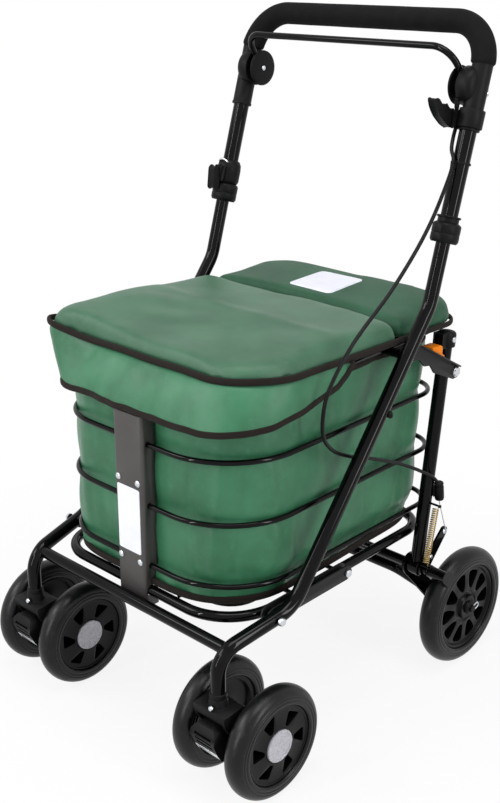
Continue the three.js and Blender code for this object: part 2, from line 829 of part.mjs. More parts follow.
function buildSeatFrame() {
  const points = roundedOutline(seatTubeHalfFront, seatTubeHalfRear, seatTubeFrontY, seatTubeRearY,
    seatTubeFrontCorner, seatTubeRearCorner, seatTubeZ, 4);
  const loop = loopTube(points, seatTubeRadius, 8);
  const pivotY = diagonalY(seatTubeZ);
  const taper = (seatTubeHalfFront - seatTubeHalfRear) / (seatTubeRearY - seatTubeFrontY);
  const halfHere = seatTubeHalfFront - taper * (pivotY - seatTubeFrontY);
  const lug = crossPin(halfHere, foldBracket.x - seatGap, pivotY, seatTubeZ, seatLugRadius, 10);
  add('seat_frame', steelBlack, joined(loop, lug, mirrored(lug)));
}

// A cushion: its outline is drawn in towards the top while the middle is crowned

function cushion({ outline, bottom, edge, crown, drawIn, rings = 4 }) {
  const centreY = (Math.min(...outline.map((p) => p.y)) + Math.max(...outline.map((p) => p.y))) / 2;
  const half = Math.max(...outline.map((p) => Math.abs(p.x)));
  const row = (keep, lift) => outline.map((p) => (
    vec(p.x * keep, centreY + (p.y - centreY) * keep, bottom + lift)));
  const rows = [
    row(1, 0),
    row(1, edge / 2),
    row(1 - drawIn / (2 * half), edge * 0.85),
    row(1 - 1.5 * drawIn / half, edge),
  ];
  const rimKeep = 1 - 1.5 * drawIn / half;
  for (let k = 1; k < rings; k += 1) {
    const share = 1 - k / rings;
    rows.push(row(rimKeep * share, edge + crown * (1 - share * share)));
  }
  rows.push(row(0, edge + crown));
  return loft(rows);
}

// Lid: the front half of the seat lifts on a fabric hinge; the rear half stays on the seat frame

function buildLid() {
  const boardHalf = lidHalfWidth - lidBoardInset;
  const board = roundedOutline(boardHalf, boardHalf, lidFrontY + lidBoardInset, lidSplitY - lidSeamGap,
    lidCornerRadius - lidBoardInset, seatGap, 0, 5, lidLeftCorner - lidBoardInset);
  add('lid_board', plasticBlack, slab(board, lidBoardZ, lidBoardThickness));
  const padBottom = lidBoardZ + lidBoardThickness + seatGap;
  const pad = roundedOutline(lidHalfWidth, lidHalfWidth, lidFrontY, lidSplitY - lidSeamGap,
    lidCornerRadius, padSeamCorner, 0, 6, lidLeftCorner);
  add('lid_cushion', vinylGreen, cushion({
    outline: pad, bottom: padBottom, edge: lidEdgeThickness, crown: lidCrown, drawIn: lidDrawIn,
  }));
  const rearBoard = roundedOutline(rearBoardHalf, rearBoardHalf, lidSplitY + lidSeamGap,
    rearBoardRearY, seatGap, rearBoardCorner, 0);
  add('rear_board', plasticBlack, slab(rearBoard, lidBoardZ, lidBoardThickness));
  const rearPad = roundedOutline(rearPadHalfWidth, rearPadHalfWidth, lidSplitY + lidSeamGap, rearPadY,
    padSeamCorner, rearPadCornerRadius, 0, 6);
  add('rear_cushion', vinylGreen, cushion({
    outline: rearPad, bottom: padBottom, edge: rearPadEdge, crown: rearPadCrown, drawIn: rearPadDrawIn,
  }));
}

// Skirt: flares out from the lid's edge, deep in front and running out along the sides

const skirtRowShares = [[0, 1], [0.45, 0.62], [1, 0]];
const skirtHemShares = [[0, 0], [0.33, 0], [0.5, 0.2], [0.78, 0.44], [1, 1]];

function buildSkirt() {
  const topZ = lidBoardZ + lidBoardThickness;
  const depth = topZ - skirtFrontZ;
  const outline = ([rise, flare], inset) => {
    const half = lidHalfWidth + skirtFlareSide * flare - inset;
    const front = lidFrontY - skirtFlareFront * flare + inset;
    return roundedOutline(half, half, front, skirtSideEndY + lidCornerRadius + inset,
      lidCornerRadius + skirtCornerGrow * flare - inset, skirtSideCorner, skirtFrontZ + depth * rise, 6,
      lidLeftCorner + skirtCornerGrow * flare - inset);
  };
  const outer = skirtRowShares.map((row) => outline(row, 0));
  const inner = skirtRowShares.map((row) => outline(row, skirtThickness));
  const under = inner[0].map((p) => vec(p.x, p.y, skirtFrontZ - cutOver));
  const over = inner[2].map((p) => vec(p.x, p.y, topZ + cutOver));
  const wall = cut(loft(outer), loft([under, ...inner, over]));
  const run = skirtSideEndY - lidFrontY;
  const hem = new THREE.Shape();
  hem.moveTo(lidFrontY, skirtFrontZ - cutOver);
  skirtHemShares.forEach(([along, up]) => hem.lineTo(lidFrontY + run * along, skirtFrontZ + depth * up));
  hem.lineTo(skirtSideEndY, topZ + cutOver);
  hem.lineTo(skirtSideEndY + cutReach, topZ + cutOver);
  hem.lineTo(skirtSideEndY + cutReach, skirtFrontZ - cutOver);
  hem.closePath();
  const trim = sidePlate(hem, -cutReach, 2 * cutReach);
  add('lid_skirt', vinylGreen, largest(toManifold(cut(wall, trim))));
}

// Handle: telescoping tubes, height collars, hinge drums, grip, brake handle, stick hook

function buildHandleTubes() {
  const topZ = sleeveTopZ - sleeveLap - seatGap;
  const bore = frameTubeRadius + slideGap;
  const shaft = uprightSleeve(collarBottomZ + collarWall, topZ, handleTubeRadius, 0, 12);
  const hollow = tube([
    { at: onUpright(collarBottomZ) }, { at: onUpright(bendZ + handleBoreDepth) },
  ], bore, 12);
  addPair('handle_tube', steelBlack, cut(shaft, hollow));
}

function buildCollars() {
  const bore = handleTubeRadius + seatGap;
  const ringTopZ = collarBottomZ + collarHeight + ringHeight;
  const footBore = frameTubeRadius + slideGap;
  const body = uprightSleeve(collarBottomZ, collarBottomZ + collarHeight, collarRadius, bore, 12);
  const foot = uprightSleeve(collarBottomZ - seatGap, collarBottomZ + collarWall - seatGap,
    collarRadius - collarWall, footBore, 12);
  const lip = uprightSleeve(collarBottomZ + collarHeight / 2, ringTopZ, ringRadius, bore, 12);
  add('height_collar_right', plasticBlack, joined(body, foot, lip));
  return joined(body, foot);
}

function buildHeightClamp(collar) {
  const bore = handleTubeRadius + seatGap;
  const { bottomZ, topZ, radius, earWidth, earDepth, earHeight, earOut, slot } = heightClamp;
  const band = uprightSleeve(collarBottomZ + collarHeight / 2, topZ, radius, bore, 12);
  const middle = onUpright((bottomZ + topZ) / 2);
  const earY = middle.y - radius - earOut;
  const ear = block(earWidth, earDepth, earHeight, middle.x, earY, middle.z);
  const gap = block(slot, 2 * radius - earOut, 2 * radius, middle.x, earY, middle.z);
  const clear = uprightSleeve(bottomZ - cutOver, topZ + cutOver, bore, 0, 12);
  const split = cut(joined(cut(band, clear), cut(ear, clear)), gap);
  add('height_collar_left', plasticBlack, mirrored(joined(collar, split)));
  const { leverWidth, leverOut, leverRise, leverDrop, leverLean, leverTopRadius, leverEndRadius } = heightClamp;
  const pivotY = middle.y - radius - leverOut;
  const lever = linkShape(pivotY, middle.z + leverRise, leverTopRadius, pivotY - leverLean,
    middle.z - leverDrop, leverEndRadius);
  const geometry = sidePlate(lever, middle.x - leverWidth / 2, leverWidth);
  const earClear = block(earWidth + 2 * cutOver, earDepth + 2 * seatGap, earHeight + 2 * seatGap,
    middle.x, earY, middle.z);
  add('clamp_lever', plasticBlack, mirrored(cut(geometry, earClear)));
}

function buildHandleJoint() {
  const axis = onUpright(handleAxisZ);
  const sleeve = uprightSleeve(sleeveBottomZ, sleeveTopZ, sleeveRadius, 0, 12);
  const bore = handleTubeRadius + seatGap;
  const hollow = tube([
    { at: onUpright(sleeveBottomZ - cutOver) }, { at: onUpright(sleeveTopZ + cutOver) },
  ], bore, 12);
  const half = (drumOuterX - drumInnerX) / 2;
  const end = uprightX - drumInnerX - half;
  const drum = turned([
    [0, drumRim - half], [drumRadius * 0.45, drumRim - half], [drumRadius * 0.45, -half],
    [drumRadius - drumRim, -half], [drumRadius, drumRim - half], [drumRadius, half * 0.35],
    [drumRadius * 0.96, half * 0.8], [drumRadius * 0.88, half], [sleeveRadius - seatGap, end], [0, end],
  ], 20, axis.y, axis.z, drumInnerX + half);
  const slotHalf = bailRadius + runGap;
  const slotShape = new THREE.Shape();
  slotShape.moveTo(axis.y - 1.2 * slotHalf, axis.z - slotHalf);
  slotShape.lineTo(axis.y - drumRadius, axis.z + drumRadius * 0.6);
  slotShape.lineTo(axis.y - drumRadius, axis.z + 1.2 * drumRadius);
  slotShape.lineTo(axis.y + drumRadius * 0.8, axis.z + 1.2 * drumRadius);
  slotShape.lineTo(axis.y + 1.3 * slotHalf, axis.z - slotHalf);
  slotShape.closePath();
  const slot = sidePlate(slotShape, bailFootX - slotHalf, 2 * slotHalf);
  const body = cut(joined(sleeve, drum), hollow, slot);
  addPair('handle_joint', plasticBlack, largest(toManifold(body)));
}

// The bar's path; the foam is built along it and cut off just above the sleeves

const barStart = onUpright(sleeveTopZ - sleeveLap);
const barStops = [
  { at: barStart },
  { at: vec(uprightX, handleTurnY, gripTopZ), radius: gripCornerRadius, steps: 5 },
  { at: vec(-uprightX, handleTurnY, gripTopZ), radius: gripCornerRadius, steps: 5 },
  { at: vec(-barStart.x, barStart.y, barStart.z) },
];

function buildGrip() {
  add('handle_bar', steelBlack, tube(barStops, barRadius, 12));
  const foam = tube(barStops, gripRadius, 12, barRadius + 1.5 * seatGap);
  const end = uprightSleeve(sleeveBottomZ, gripStartZ, gripRadius + cutOver, 0, 12);
  add('foam_grip', foamBlack, cut(foam, end, mirrored(end)));
}

function buildBrakeBail() {
  const axis = onUpright(handleAxisZ);
  const frontY = axis.y - bailFront;
  const topZ = axis.z + bailRise;
  const rod = tube([
    { at: vec(bailFootX, axis.y, axis.z) },
    { at: vec(bailFootX, frontY, topZ), radius: bailCornerRight, steps: 5 },
    { at: vec(-bailFootX, frontY, topZ), radius: bailCornerLeft, steps: 5 },
    { at: vec(-bailFootX, axis.y, axis.z) },
  ], bailRadius, 8);
  add('brake_bail', steelBlack, rod);
}

// Cable adjuster under the right drum

const adjusterStops = [
  { at: vec(adjuster.x, adjuster.topY, adjuster.topZ) },
  { at: vec(adjuster.x, adjuster.bottomY, adjuster.bottomZ) },
];

function buildHook() {
  const { rearY, depth, bottomZ, height, startX, width, webDepth, webTopZ } = stickHook;
  const blade = sidePlate(shareShape(stickHookShares, rearY, bottomZ, depth, height), startX, width);
  const webHeight = webTopZ - bottomZ;
  const web = block(uprightX - startX - seatGap, 2 * webDepth, webHeight,
    (uprightX + startX + seatGap) / 2, rearY, bottomZ + webHeight / 2);
  const { clipWall, clipWidth, clipDepth, clipShift } = stickHook;
  const clip = uprightSleeve(bottomZ, webTopZ, sleeveRadius + clipWall, sleeveRadius + seatGap, 12);
  const clipBox = block(clipWidth, clipDepth, cutReach, uprightX + clipShift, rearY, webTopZ);
  const outerClip = fromManifold(toManifold(clip).intersect(toManifold(clipBox)));
  const sleeve = uprightSleeve(sleeveBottomZ - cutOver, sleeveTopZ, sleeveRadius + seatGap, 0, 12);
  const adjusterClear = tube([
    adjusterStops[0], { at: vec(adjuster.x, adjuster.bottomY, adjuster.bottomZ - 2 * cutOver) },
  ], adjuster.radius + 2 * seatGap, 10);
  add('stick_hook', plasticBlack,
    largest(toManifold(cut(joined(blade, web, outerClip), sleeve, adjusterClear))));
}

function buildAdjuster() {
  const axis = onUpright(handleAxisZ);
  const drumClear = crossPin(drumInnerX - cutOver, uprightX, axis.y, axis.z, drumRadius + seatGap, 20);
  const sleeveClear = uprightSleeve(sleeveBottomZ - cutOver, sleeveTopZ, sleeveRadius + seatGap, 0, 12);
  const body = tube(adjusterStops, adjuster.radius, 10);
  add('cable_adjuster', plasticBlack, largest(toManifold(cut(body, drumClear, sleeveClear))));
}

// Rear frame

const legSlope = (legTopY - brakeShaftY) / (legTopZ - brakeShaftZ);

function legY(z) {
  return brakeShaftY + legSlope * (z - brakeShaftZ);
}

function legTube(fromZ, toZ, extra = 0) {
  return tube([{ at: vec(legX, legY(fromZ), fromZ) }, { at: vec(legX, legY(toZ), toZ) }],
    legTubeRadius + extra, 12);
}

function buildRearLegs() {
  const shaft = legTube(brakeShaftZ, legTopZ);
  const bush = crossPin(legX - legTubeRadius, legX + legTubeRadius, brakeShaftY, brakeShaftZ, bushRadius, 18);
  const { legRadius, pivotRadius, width } = foldLug;
  const lug = sidePlate(linkShape(legY(foldPivotZ), foldPivotZ, legRadius, foldPivotY, foldPivotZ, pivotRadius),
    legX - width / 2, width);
  const boreHalf = legTubeRadius + cutOver;
  const shaftBore = crossPin(legX - boreHalf, legX + boreHalf, brakeShaftY, brakeShaftZ,
    brakeShaftRadius + runGap, 18);
  const pivotBore = crossPin(legX - boreHalf, legX + boreHalf, foldPivotY, foldPivotZ,
    foldPinRadius + runGap, 14);
  const leg = cut(joined(shaft, bush, lug), shaftBore, pivotBore);
  const springPin = crossPin(legX, springX + springPinReach, legY(springTopPinZ), springTopPinZ,
    springPinRadius, 8);
  add('rear_leg_right', steelBlack, joined(leg, springPin));
  add('rear_leg_left', steelBlack, mirrored(leg));
}

// Axle frame: a plate inside each leg carries the wheel's axle, and a bent tube ties the plates

function buildAxleFrame() {
  const outer = legX - legTubeRadius - seatGap;
  const start = outer - axlePlateThickness;
  const outline = linkShape(brakeShaftY, brakeShaftZ, axlePlateTopRadius, rearAxleY, rearWheelRadius,
    axlePlateEndRadius);
  const plate = sidePlate(outline, start, axlePlateThickness);
  const shaftBore = crossPin(start - cutOver, outer + cutOver, brakeShaftY, brakeShaftZ,
    brakeShaftRadius + runGap, 18);
  const axle = crossPin(start, rearWheelX + rearWheelHalf + rearAxleOver, rearAxleY, rearWheelRadius,
    rearAxleRadius, 14);
  const spacer = crossPin(start, rearWheelX - rearWheelHalf - rearSpacerGap, rearAxleY, rearWheelRadius,
    rearSpacerRadius, 14);
  const side = cut(joined(plate, axle, spacer), shaftBore);
  const end = start + axlePlateThickness / 2;
  const stops = [
    { at: vec(-end, axleCrossEndY, axleCrossEndZ) },
    { at: vec(-axleCrossHalf, axleCrossY, axleCrossZ), radius: axleCrossBend, steps: 4 },
    { at: vec(axleCrossHalf, axleCrossY, axleCrossZ), radius: axleCrossBend, steps: 4 },
    { at: vec(end, axleCrossEndY, axleCrossEndZ) },
  ];
  const bar = tube(stops, axleCrossRadius, 10);
  const inside = block(2 * end, cutReach, cutReach, 0, rearAxleY, rearWheelRadius);
  const trimmed = fromManifold(toManifold(bar).intersect(toManifold(inside)));
  add('axle_frame', steelBlack, joined(side, mirrored(side), trimmed));
}

// Brake shaft across both legs, with a shoe in front of each rear tyre and one cable arm on the right

const springPinY = brakeShaftY - springPinBack;
const springPinZ = brakeShaftZ + springPinUp;

function buildBrakeShaft() {
  const reach = Math.hypot(rearAxleY - brakeShaftY, rearWheelRadius - brakeShaftZ);
  const toAxleY = (rearAxleY - brakeShaftY) / reach;
  const toAxleZ = (rearWheelRadius - brakeShaftZ) / reach;
  const shoeY = brakeShaftY + toAxleZ * brakeShoe.offset;
  const shoeZ = brakeShaftZ - toAxleY * brakeShoe.offset;
  const shaft = crossPin(-brakeShoe.endX, brakeShoe.endX, brakeShaftY, brakeShaftZ, brakeShaftRadius, 14);
  const shoeShape = linkShape(brakeShaftY, brakeShaftZ, brakeShaftRadius, shoeY, shoeZ, brakeShoe.radius);
  const shoe = sidePlate(shoeShape, brakeShoe.startX, brakeShoe.endX - brakeShoe.startX);
  const { x, thickness, topY, topZ, endRadius, rootRadius, holeRadius, lap } = brakeArm;
  const arm = sidePlate(linkShape(brakeShaftY, brakeShaftZ, rootRadius, topY, topZ, endRadius), x, thickness);
  const pin = crossPin(x + lap, springX + springPinReach, springPinY, springPinZ, springPinRadius, 8);
  const cableHole = crossPin(x - cutOver, x + thickness + cutOver, topY, topZ, holeRadius, 10);
  add('brake_shaft', steelBlack, cut(joined(shaft, shoe, mirrored(shoe), arm, pin), cableHole));
}

// Return spring: one unbroken coil beside the right leg, its ends straight along the axis

function buildSpring() {
  const pinClear = springPinRadius + seatGap;
  const top = vec(springX, legY(springTopPinZ), springTopPinZ - pinClear);
  const bottom = vec(springX, springPinY, springPinZ + pinClear);
  const axis = top.clone().sub(bottom);
  const length = axis.length();
  axis.normalize();
  const side = vec(1, 0, 0);
  const other = axis.clone().cross(side);
  const endRun = 2 * springWire;
  const pitch = (length - 2 * endRun) / springTurns;
  const perTurn = 8;
  const points = [];
  const coilPoint = (turn) => {
    const angle = 2 * Math.PI * turn;
    const point = bottom.clone().addScaledVector(axis, endRun + pitch * turn);
    point.addScaledVector(side, springRadius * Math.cos(angle));
    return point.addScaledVector(other, springRadius * Math.sin(angle));
  };
  points.push(coilPoint(0).addScaledVector(axis, -endRun));
  for (let i = 0; i <= springTurns * perTurn; i += 1) {
    points.push(coilPoint(i / perTurn));
  }
  points.push(coilPoint(springTurns).addScaledVector(axis, endRun));
  let least = Infinity;
  points.forEach((p, i) => {
    for (let j = i + perTurn / 2; j < points.length; j += 1) {
      least = Math.min(least, p.distanceTo(points[j]) - 2 * springWire);
    }
  });
  console.log(`return_spring: pitch ${pitch.toFixed(2)} mm, least gap to itself ${least.toFixed(2)} mm`);
  const stops = points.map((at) => ({ at }));
  add('return_spring', brassYellow, tube(stops, springWire, 5));
}

// Cable stop on the right leg, behind and outside its tube

const cableStopY = legY(cableStop.z) + cableStop.behind;

function buildCableStop() {
  const { x, z, shift, sleeveRadius: radius, halfLength, lean, boreRadius, boreHalf } = cableStop;
  const y = cableStopY - shift;
  const along = (reach, slide) => [{ at: vec(x, y - slide, z + reach) }, { at: vec(x, y + slide, z - reach) }];
  const sleeve = tube(along(halfLength, lean), radius, 10);
  const bore = tube(along(boreHalf, lean * boreHalf / halfLength), boreRadius, 8);
  const { plateX, plateWidth, plateDepth, plateHeight, plateBack, clearHalf } = cableStop;
  const plate = block(plateWidth, plateDepth, plateHeight, legX + plateX, cableStopY - plateBack, z);
  const clear = legTube(z - clearHalf, z + clearHalf, seatGap);
  add('cable_stop', plasticBlack, cut(joined(sleeve, plate), clear, bore));
}

// Fold brackets on the uprights, leg caps and orange fold catches

function buildFoldBrackets() {
  const { x, wall, length, height, bossRadius, flange, flangeLap, headRadius, headHeight } = foldBracket;
  const outline = shareShape(foldBracketShares, foldPivotY, foldPivotZ, length, height);
  const plate = sidePlate(outline, x, wall);
  const flangeOutline = shareShape(foldFlangeShares, foldPivotY, foldPivotZ, length, height);
  const edge = sidePlate(flangeOutline, x + flangeLap, flange);
  const body = cut(joined(plate, edge), sideTube(seatGap));
  const headEnd = x + wall + headHeight;
  const pin = crossPin(legX - foldPinReach, headEnd, foldPivotY, foldPivotZ, foldPinRadius, 12);
  const head = crossPin(headEnd - headHeight - flangeLap, headEnd, foldPivotY, foldPivotZ, headRadius, 6);
  const clear = crossPin(0, x - runGap, foldPivotY, foldPivotZ, bossRadius, 8);
  addPair('fold_bracket', plateGrey, joined(cut(body, clear), pin, head));
}

function buildLegCaps() {
  const outline = shareShape(legCapShares, legCap.frontY, legCap.bottomZ, legCap.depth, legCap.height);
  const cap = sidePlate(outline, legX - legCap.inset, legCap.width);
  const clear = legTube(legCap.bottomZ - legCap.clearHalf, legCap.bottomZ + legCap.clearHalf, seatGap);
  addPair('leg_cap', plasticBlack, cut(cap, clear));
  const { length, bottomZ, height, width } = foldCatch;
  const lever = shareShape(foldCatchShares, legCap.frontY - seatGap, bottomZ, length, height);
  const legClear = legTube(foldPivotZ, legTopZ, runGap);
  addPair('fold_catch', catchOrange, cut(sidePlate(lever, legX - width / 2, width), legClear));
}

// Wheels: a moulded tyre on a rim whose web has windows

function tyreProfile(radius, half, seat) {
  const { wall, shoulder, crown, crownHalf } = tyreShares;
  const shoulderRadius = radius - half * shoulder;
  const crownRadius = radius - half * crown;
  return [
    [seat, -half * wall], [shoulderRadius, -half], [crownRadius, -half * crownHalf], [radius, 0],
    [crownRadius, half * crownHalf], [shoulderRadius, half], [seat, half * wall], [seat, -half * wall],
  ];
}

function addWheel(name, x, y, radius, half, options) {
  const { seat, boss, bore, windows, windowInner, windowOuter, windowShare, footShare, outward } = options;
  const segments = radius > casterWheelRadius ? 24 : 20;
  add(`${name}_tyre`, rubberBlack, turned(tyreProfile(radius, half, seat), segments, y, radius, x));
  const rimOuter = seat - seatGap;
  const face = half * rimFaceShare;
  const web = half * rimWebShare;
  const rimProfile = [
    [bore, -face], [boss, -face], [boss, web], [rimOuter - rimWall, web], [rimOuter - rimWall, -face],
    [rimOuter, -face], [rimOuter, face], [rimOuter - rimLip, face], [rimOuter - rimRoot, web + rimWeb],
    [boss, web + rimWeb], [boss, face], [bore, face], [bore, -face],
  ].map(([r, h]) => [r, h * outward]);
  const rim = turned(rimProfile, segments, y, radius, x);
  const holes = [];
  for (let i = 0; i < windows; i += 1) {
    const middle = 2 * Math.PI * (i + 0.5) / windows + Math.PI / 2;
    const reach = Math.PI * windowShare / windows;
    const places = [
      [windowInner, -reach * footShare], [windowOuter, -reach], [windowOuter, reach],
      [windowInner, reach * footShare],
    ];
    const shape = new THREE.Shape(places.map(([r, turn]) => (
      new THREE.Vector2(y + r * Math.cos(middle + turn), radius + r * Math.sin(middle + turn)))));
    holes.push(sidePlate(shape, x - half - cutOver, 2 * (half + cutOver)));
  }
  add(`${name}_rim`, plasticBlack, cut(rim, ...holes));
}

function buildRearWheels() {
  [1, -1].forEach((side) => {
    const name = side > 0 ? 'rear_wheel_right' : 'rear_wheel_left';
    addWheel(name, side * rearWheelX, rearAxleY, rearWheelRadius, rearWheelHalf,
      { ...rearRim, bore: rearAxleRadius + runGap, outward: side });
  });
}

// Casters: a fork on a swivel stem, two wheels on one axle, and a foot brake between them

function buildCasterPedal(sideName, x) {
  const { pivotY, pivotZ, length, height } = casterPedal;
  const shares = [...pedalTopShares];
  const [startShare, dropShare] = pedalTopShares[pedalTopShares.length - 1];
  for (let i = 0; i < pedalRibs; i += 1) {
    pedalRibShares.forEach(([along, down]) => {
      shares.push([startShare + 0.1 * i + along, dropShare - 0.1244 * i + down]);
    });
  }
  shares.push(...pedalRearShares);
  const half = casterForkHalf - casterForkWall - runGap;
  const shape = shareShape(shares, pivotY, pivotZ, length, height);
  add(`caster_pedal_${sideName}`, plateGrey, sidePlate(shape, x - half, 2 * half));
}

function buildCasters() {
  const axleY = stemY + casterTrail;
  const axleZ = casterWheelRadius;
  const { front, rear, topZ, shoulderZ, frontTopZ, bossRadius } = casterFork;
  const { slotTopZ, slotRearZ, slotReach, slotFlat, slotBottomZ } = casterFork;
  const shape = new THREE.Shape();
  shape.moveTo(stemY - front, frontTopZ);
  shape.lineTo(stemY - front, shoulderZ);
  shape.quadraticCurveTo(stemY - front * 0.7, axleZ + bossRadius * 1.5, axleY - bossRadius, axleZ - bossRadius * 0.43);
  shape.absarc(axleY, axleZ, bossRadius, Math.PI * 1.1, Math.PI * 2.1, false);
  shape.lineTo(stemY + rear, shoulderZ);
  shape.quadraticCurveTo(stemY + rear * 0.85, topZ, stemY + rear * 0.54, topZ);
  shape.closePath();
  const slotShape = new THREE.Shape();
  slotShape.moveTo(stemY - slotReach, slotTopZ);
  slotShape.lineTo(stemY + slotFlat, slotTopZ);
  slotShape.lineTo(axleY + slotReach, slotRearZ);
  slotShape.lineTo(axleY + slotReach, slotBottomZ);
  slotShape.lineTo(stemY - slotReach, slotBottomZ);
  slotShape.closePath();
  [1, -1].forEach((side) => {
    const sideName = side > 0 ? 'right' : 'left';
    const x = side * stemX;
    const solid = sidePlate(shape, x - casterForkHalf, 2 * casterForkHalf);
    const slotHalf = casterForkHalf - casterForkWall;
    const slot = sidePlate(slotShape, x - slotHalf, 2 * slotHalf);
    const { topRadius, bottomRadius, height } = casterNeck;
    const neck = new THREE.CylinderGeometry(topRadius, bottomRadius, height, 16);
    neck.rotateX(Math.PI / 2);
    neck.translate(x, stemY, stemBottomZ - runGap - height / 2);
    const axleReach = casterWheelOffset + casterWheelHalf;
    const axle = crossPin(x - axleReach, x + axleReach, axleY, axleZ, casterAxleRadius, 12);
    add(`caster_fork_${sideName}`, plasticBlack, joined(cut(solid, slot), neck, axle));
    buildCasterPedal(sideName, x);
    [1, -1].forEach((place) => {
      const wheelX = x + place * casterWheelOffset;
      const name = `caster_${sideName}_${place > 0 ? 'right' : 'left'}`;
      addWheel(name, wheelX, axleY, casterWheelRadius, casterWheelHalf,
        { ...casterRim, bore: casterAxleRadius + runGap, outward: place });
    });
  });
}

function buildCable() {
  const points = cableRoute.map(([x, y, z]) => vec(x, y, z));
  const curve = new THREE.CatmullRomCurve3(points, false, 'centripetal');
  const steps = 44;
  const stops = curve.getSpacedPoints(steps).map((at) => ({ at }));
  add('brake_cable', cableBlack, tube(stops, cableRadius, 6));
}

function buildWire() {
  const { x, thickness, topY, topZ } = brakeArm;
  const { radius, topDrop, topLean, bendDrop, bendLean, bendRadius: bend, eyeOut, eyeIn, eyeRadius } = brakeWire;
  add('brake_wire', cableBlack, tube([
    { at: vec(cableStop.x, cableStopY + topLean, cableStop.z - topDrop) },
    { at: vec(cableStop.x, cableStopY + bendLean, cableStop.z - bendDrop), radius: bend, steps: 3 },
    { at: vec(x + thickness + eyeOut, topY, topZ), radius: eyeRadius, steps: 2 },
    { at: vec(x - eyeIn, topY, topZ) },
  ], radius, 6));
}

buildMainFrame();
buildFootBrackets();
buildPost();
buildBasket();
buildBag();
buildSeatFrame();
buildLid();
buildSkirt();
buildHandleTubes();
buildHeightClamp(buildCollars());
buildHandleJoint();
buildGrip();
buildBrakeBail();
buildHook();
buildAdjuster();
buildRearLegs();
buildAxleFrame();
buildBrakeShaft();
buildSpring();
buildCableStop();
buildFoldBrackets();
buildLegCaps();
buildRearWheels();
buildCasters();
buildCable();
buildWire();

export default group;
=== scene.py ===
# Shopping rollator: the looks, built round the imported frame. Sizes below are millimetres.
import math
import bmesh
import bpy
import numpy as np
from mathutils import Matrix, Vector


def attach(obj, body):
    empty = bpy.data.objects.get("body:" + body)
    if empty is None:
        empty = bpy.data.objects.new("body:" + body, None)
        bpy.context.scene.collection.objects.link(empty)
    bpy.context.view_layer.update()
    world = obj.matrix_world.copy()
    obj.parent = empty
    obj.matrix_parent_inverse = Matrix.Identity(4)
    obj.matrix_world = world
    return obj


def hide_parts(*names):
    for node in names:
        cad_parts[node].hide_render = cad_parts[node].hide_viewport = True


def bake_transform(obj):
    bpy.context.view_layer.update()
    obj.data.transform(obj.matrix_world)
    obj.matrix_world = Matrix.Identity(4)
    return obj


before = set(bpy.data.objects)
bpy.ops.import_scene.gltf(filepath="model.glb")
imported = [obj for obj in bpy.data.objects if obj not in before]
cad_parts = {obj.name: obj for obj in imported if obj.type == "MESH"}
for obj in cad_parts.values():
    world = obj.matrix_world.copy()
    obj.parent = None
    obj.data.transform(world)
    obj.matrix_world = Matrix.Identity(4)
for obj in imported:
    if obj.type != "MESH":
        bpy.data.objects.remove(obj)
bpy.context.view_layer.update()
metre = 0.001


camera = {
    "place": (1.0817, -1.1273, 0.9838), "azimuth": 44.31, "elevation": 20.41,   # metres and degrees
    "lens": 54.28, "sensor": 36.0, "far": 50,
}


def addCamera(s):
    a, e = math.radians(s["azimuth"]), math.radians(s["elevation"])
    back = Vector((math.sin(a) * math.cos(e), -math.cos(a) * math.cos(e), math.sin(e)))
    right = Vector((math.cos(a), math.sin(a), 0))
    up = back.cross(right)
    data = bpy.data.cameras.new("photoCamera")
    data.lens, data.sensor_width, data.sensor_fit = s["lens"], s["sensor"], "AUTO"
    data.clip_end = s["far"]
    obj = bpy.data.objects.new("photoCamera", data)
    bpy.context.scene.collection.objects.link(obj)
    obj.matrix_world = Matrix.Translation(s["place"]) @ Matrix((right, up, back)).transposed().to_4x4()
    bpy.context.scene.camera = obj


addCamera(camera)
bpy.context.scene.view_settings.view_transform = "Standard"


class Sock:
    # One output socket; arithmetic on it adds Math nodes.

    def __init__(self, tree, socket):
        self.tree, self.socket = tree, socket

    def calc(self, operation, first, second=0.0):
        node = self.tree.nodes.new("ShaderNodeMath")
        node.operation = operation
        for n, value in enumerate((first, second)):
            if isinstance(value, Sock):
                self.tree.links.new(value.socket, node.inputs[n])
            else:
                node.inputs[n].default_value = value
        return Sock(self.tree, node.outputs[0])

    def __add__(self, other):
        return self.calc("ADD", self, other)

    def __radd__(self, other):
        return self.calc("ADD", other, self)

    def __sub__(self, other):
        return self.calc("SUBTRACT", self, other)

    def __rsub__(self, other):
        return self.calc("SUBTRACT", other, self)

    def __mul__(self, other):
        return self.calc("MULTIPLY", self, other)

    def __rmul__(self, other):
        return self.calc("MULTIPLY", other, self)

    def most(self, other):
        return self.calc("MAXIMUM", self, other)

    def sine(self):
        return self.calc("SINE", self)


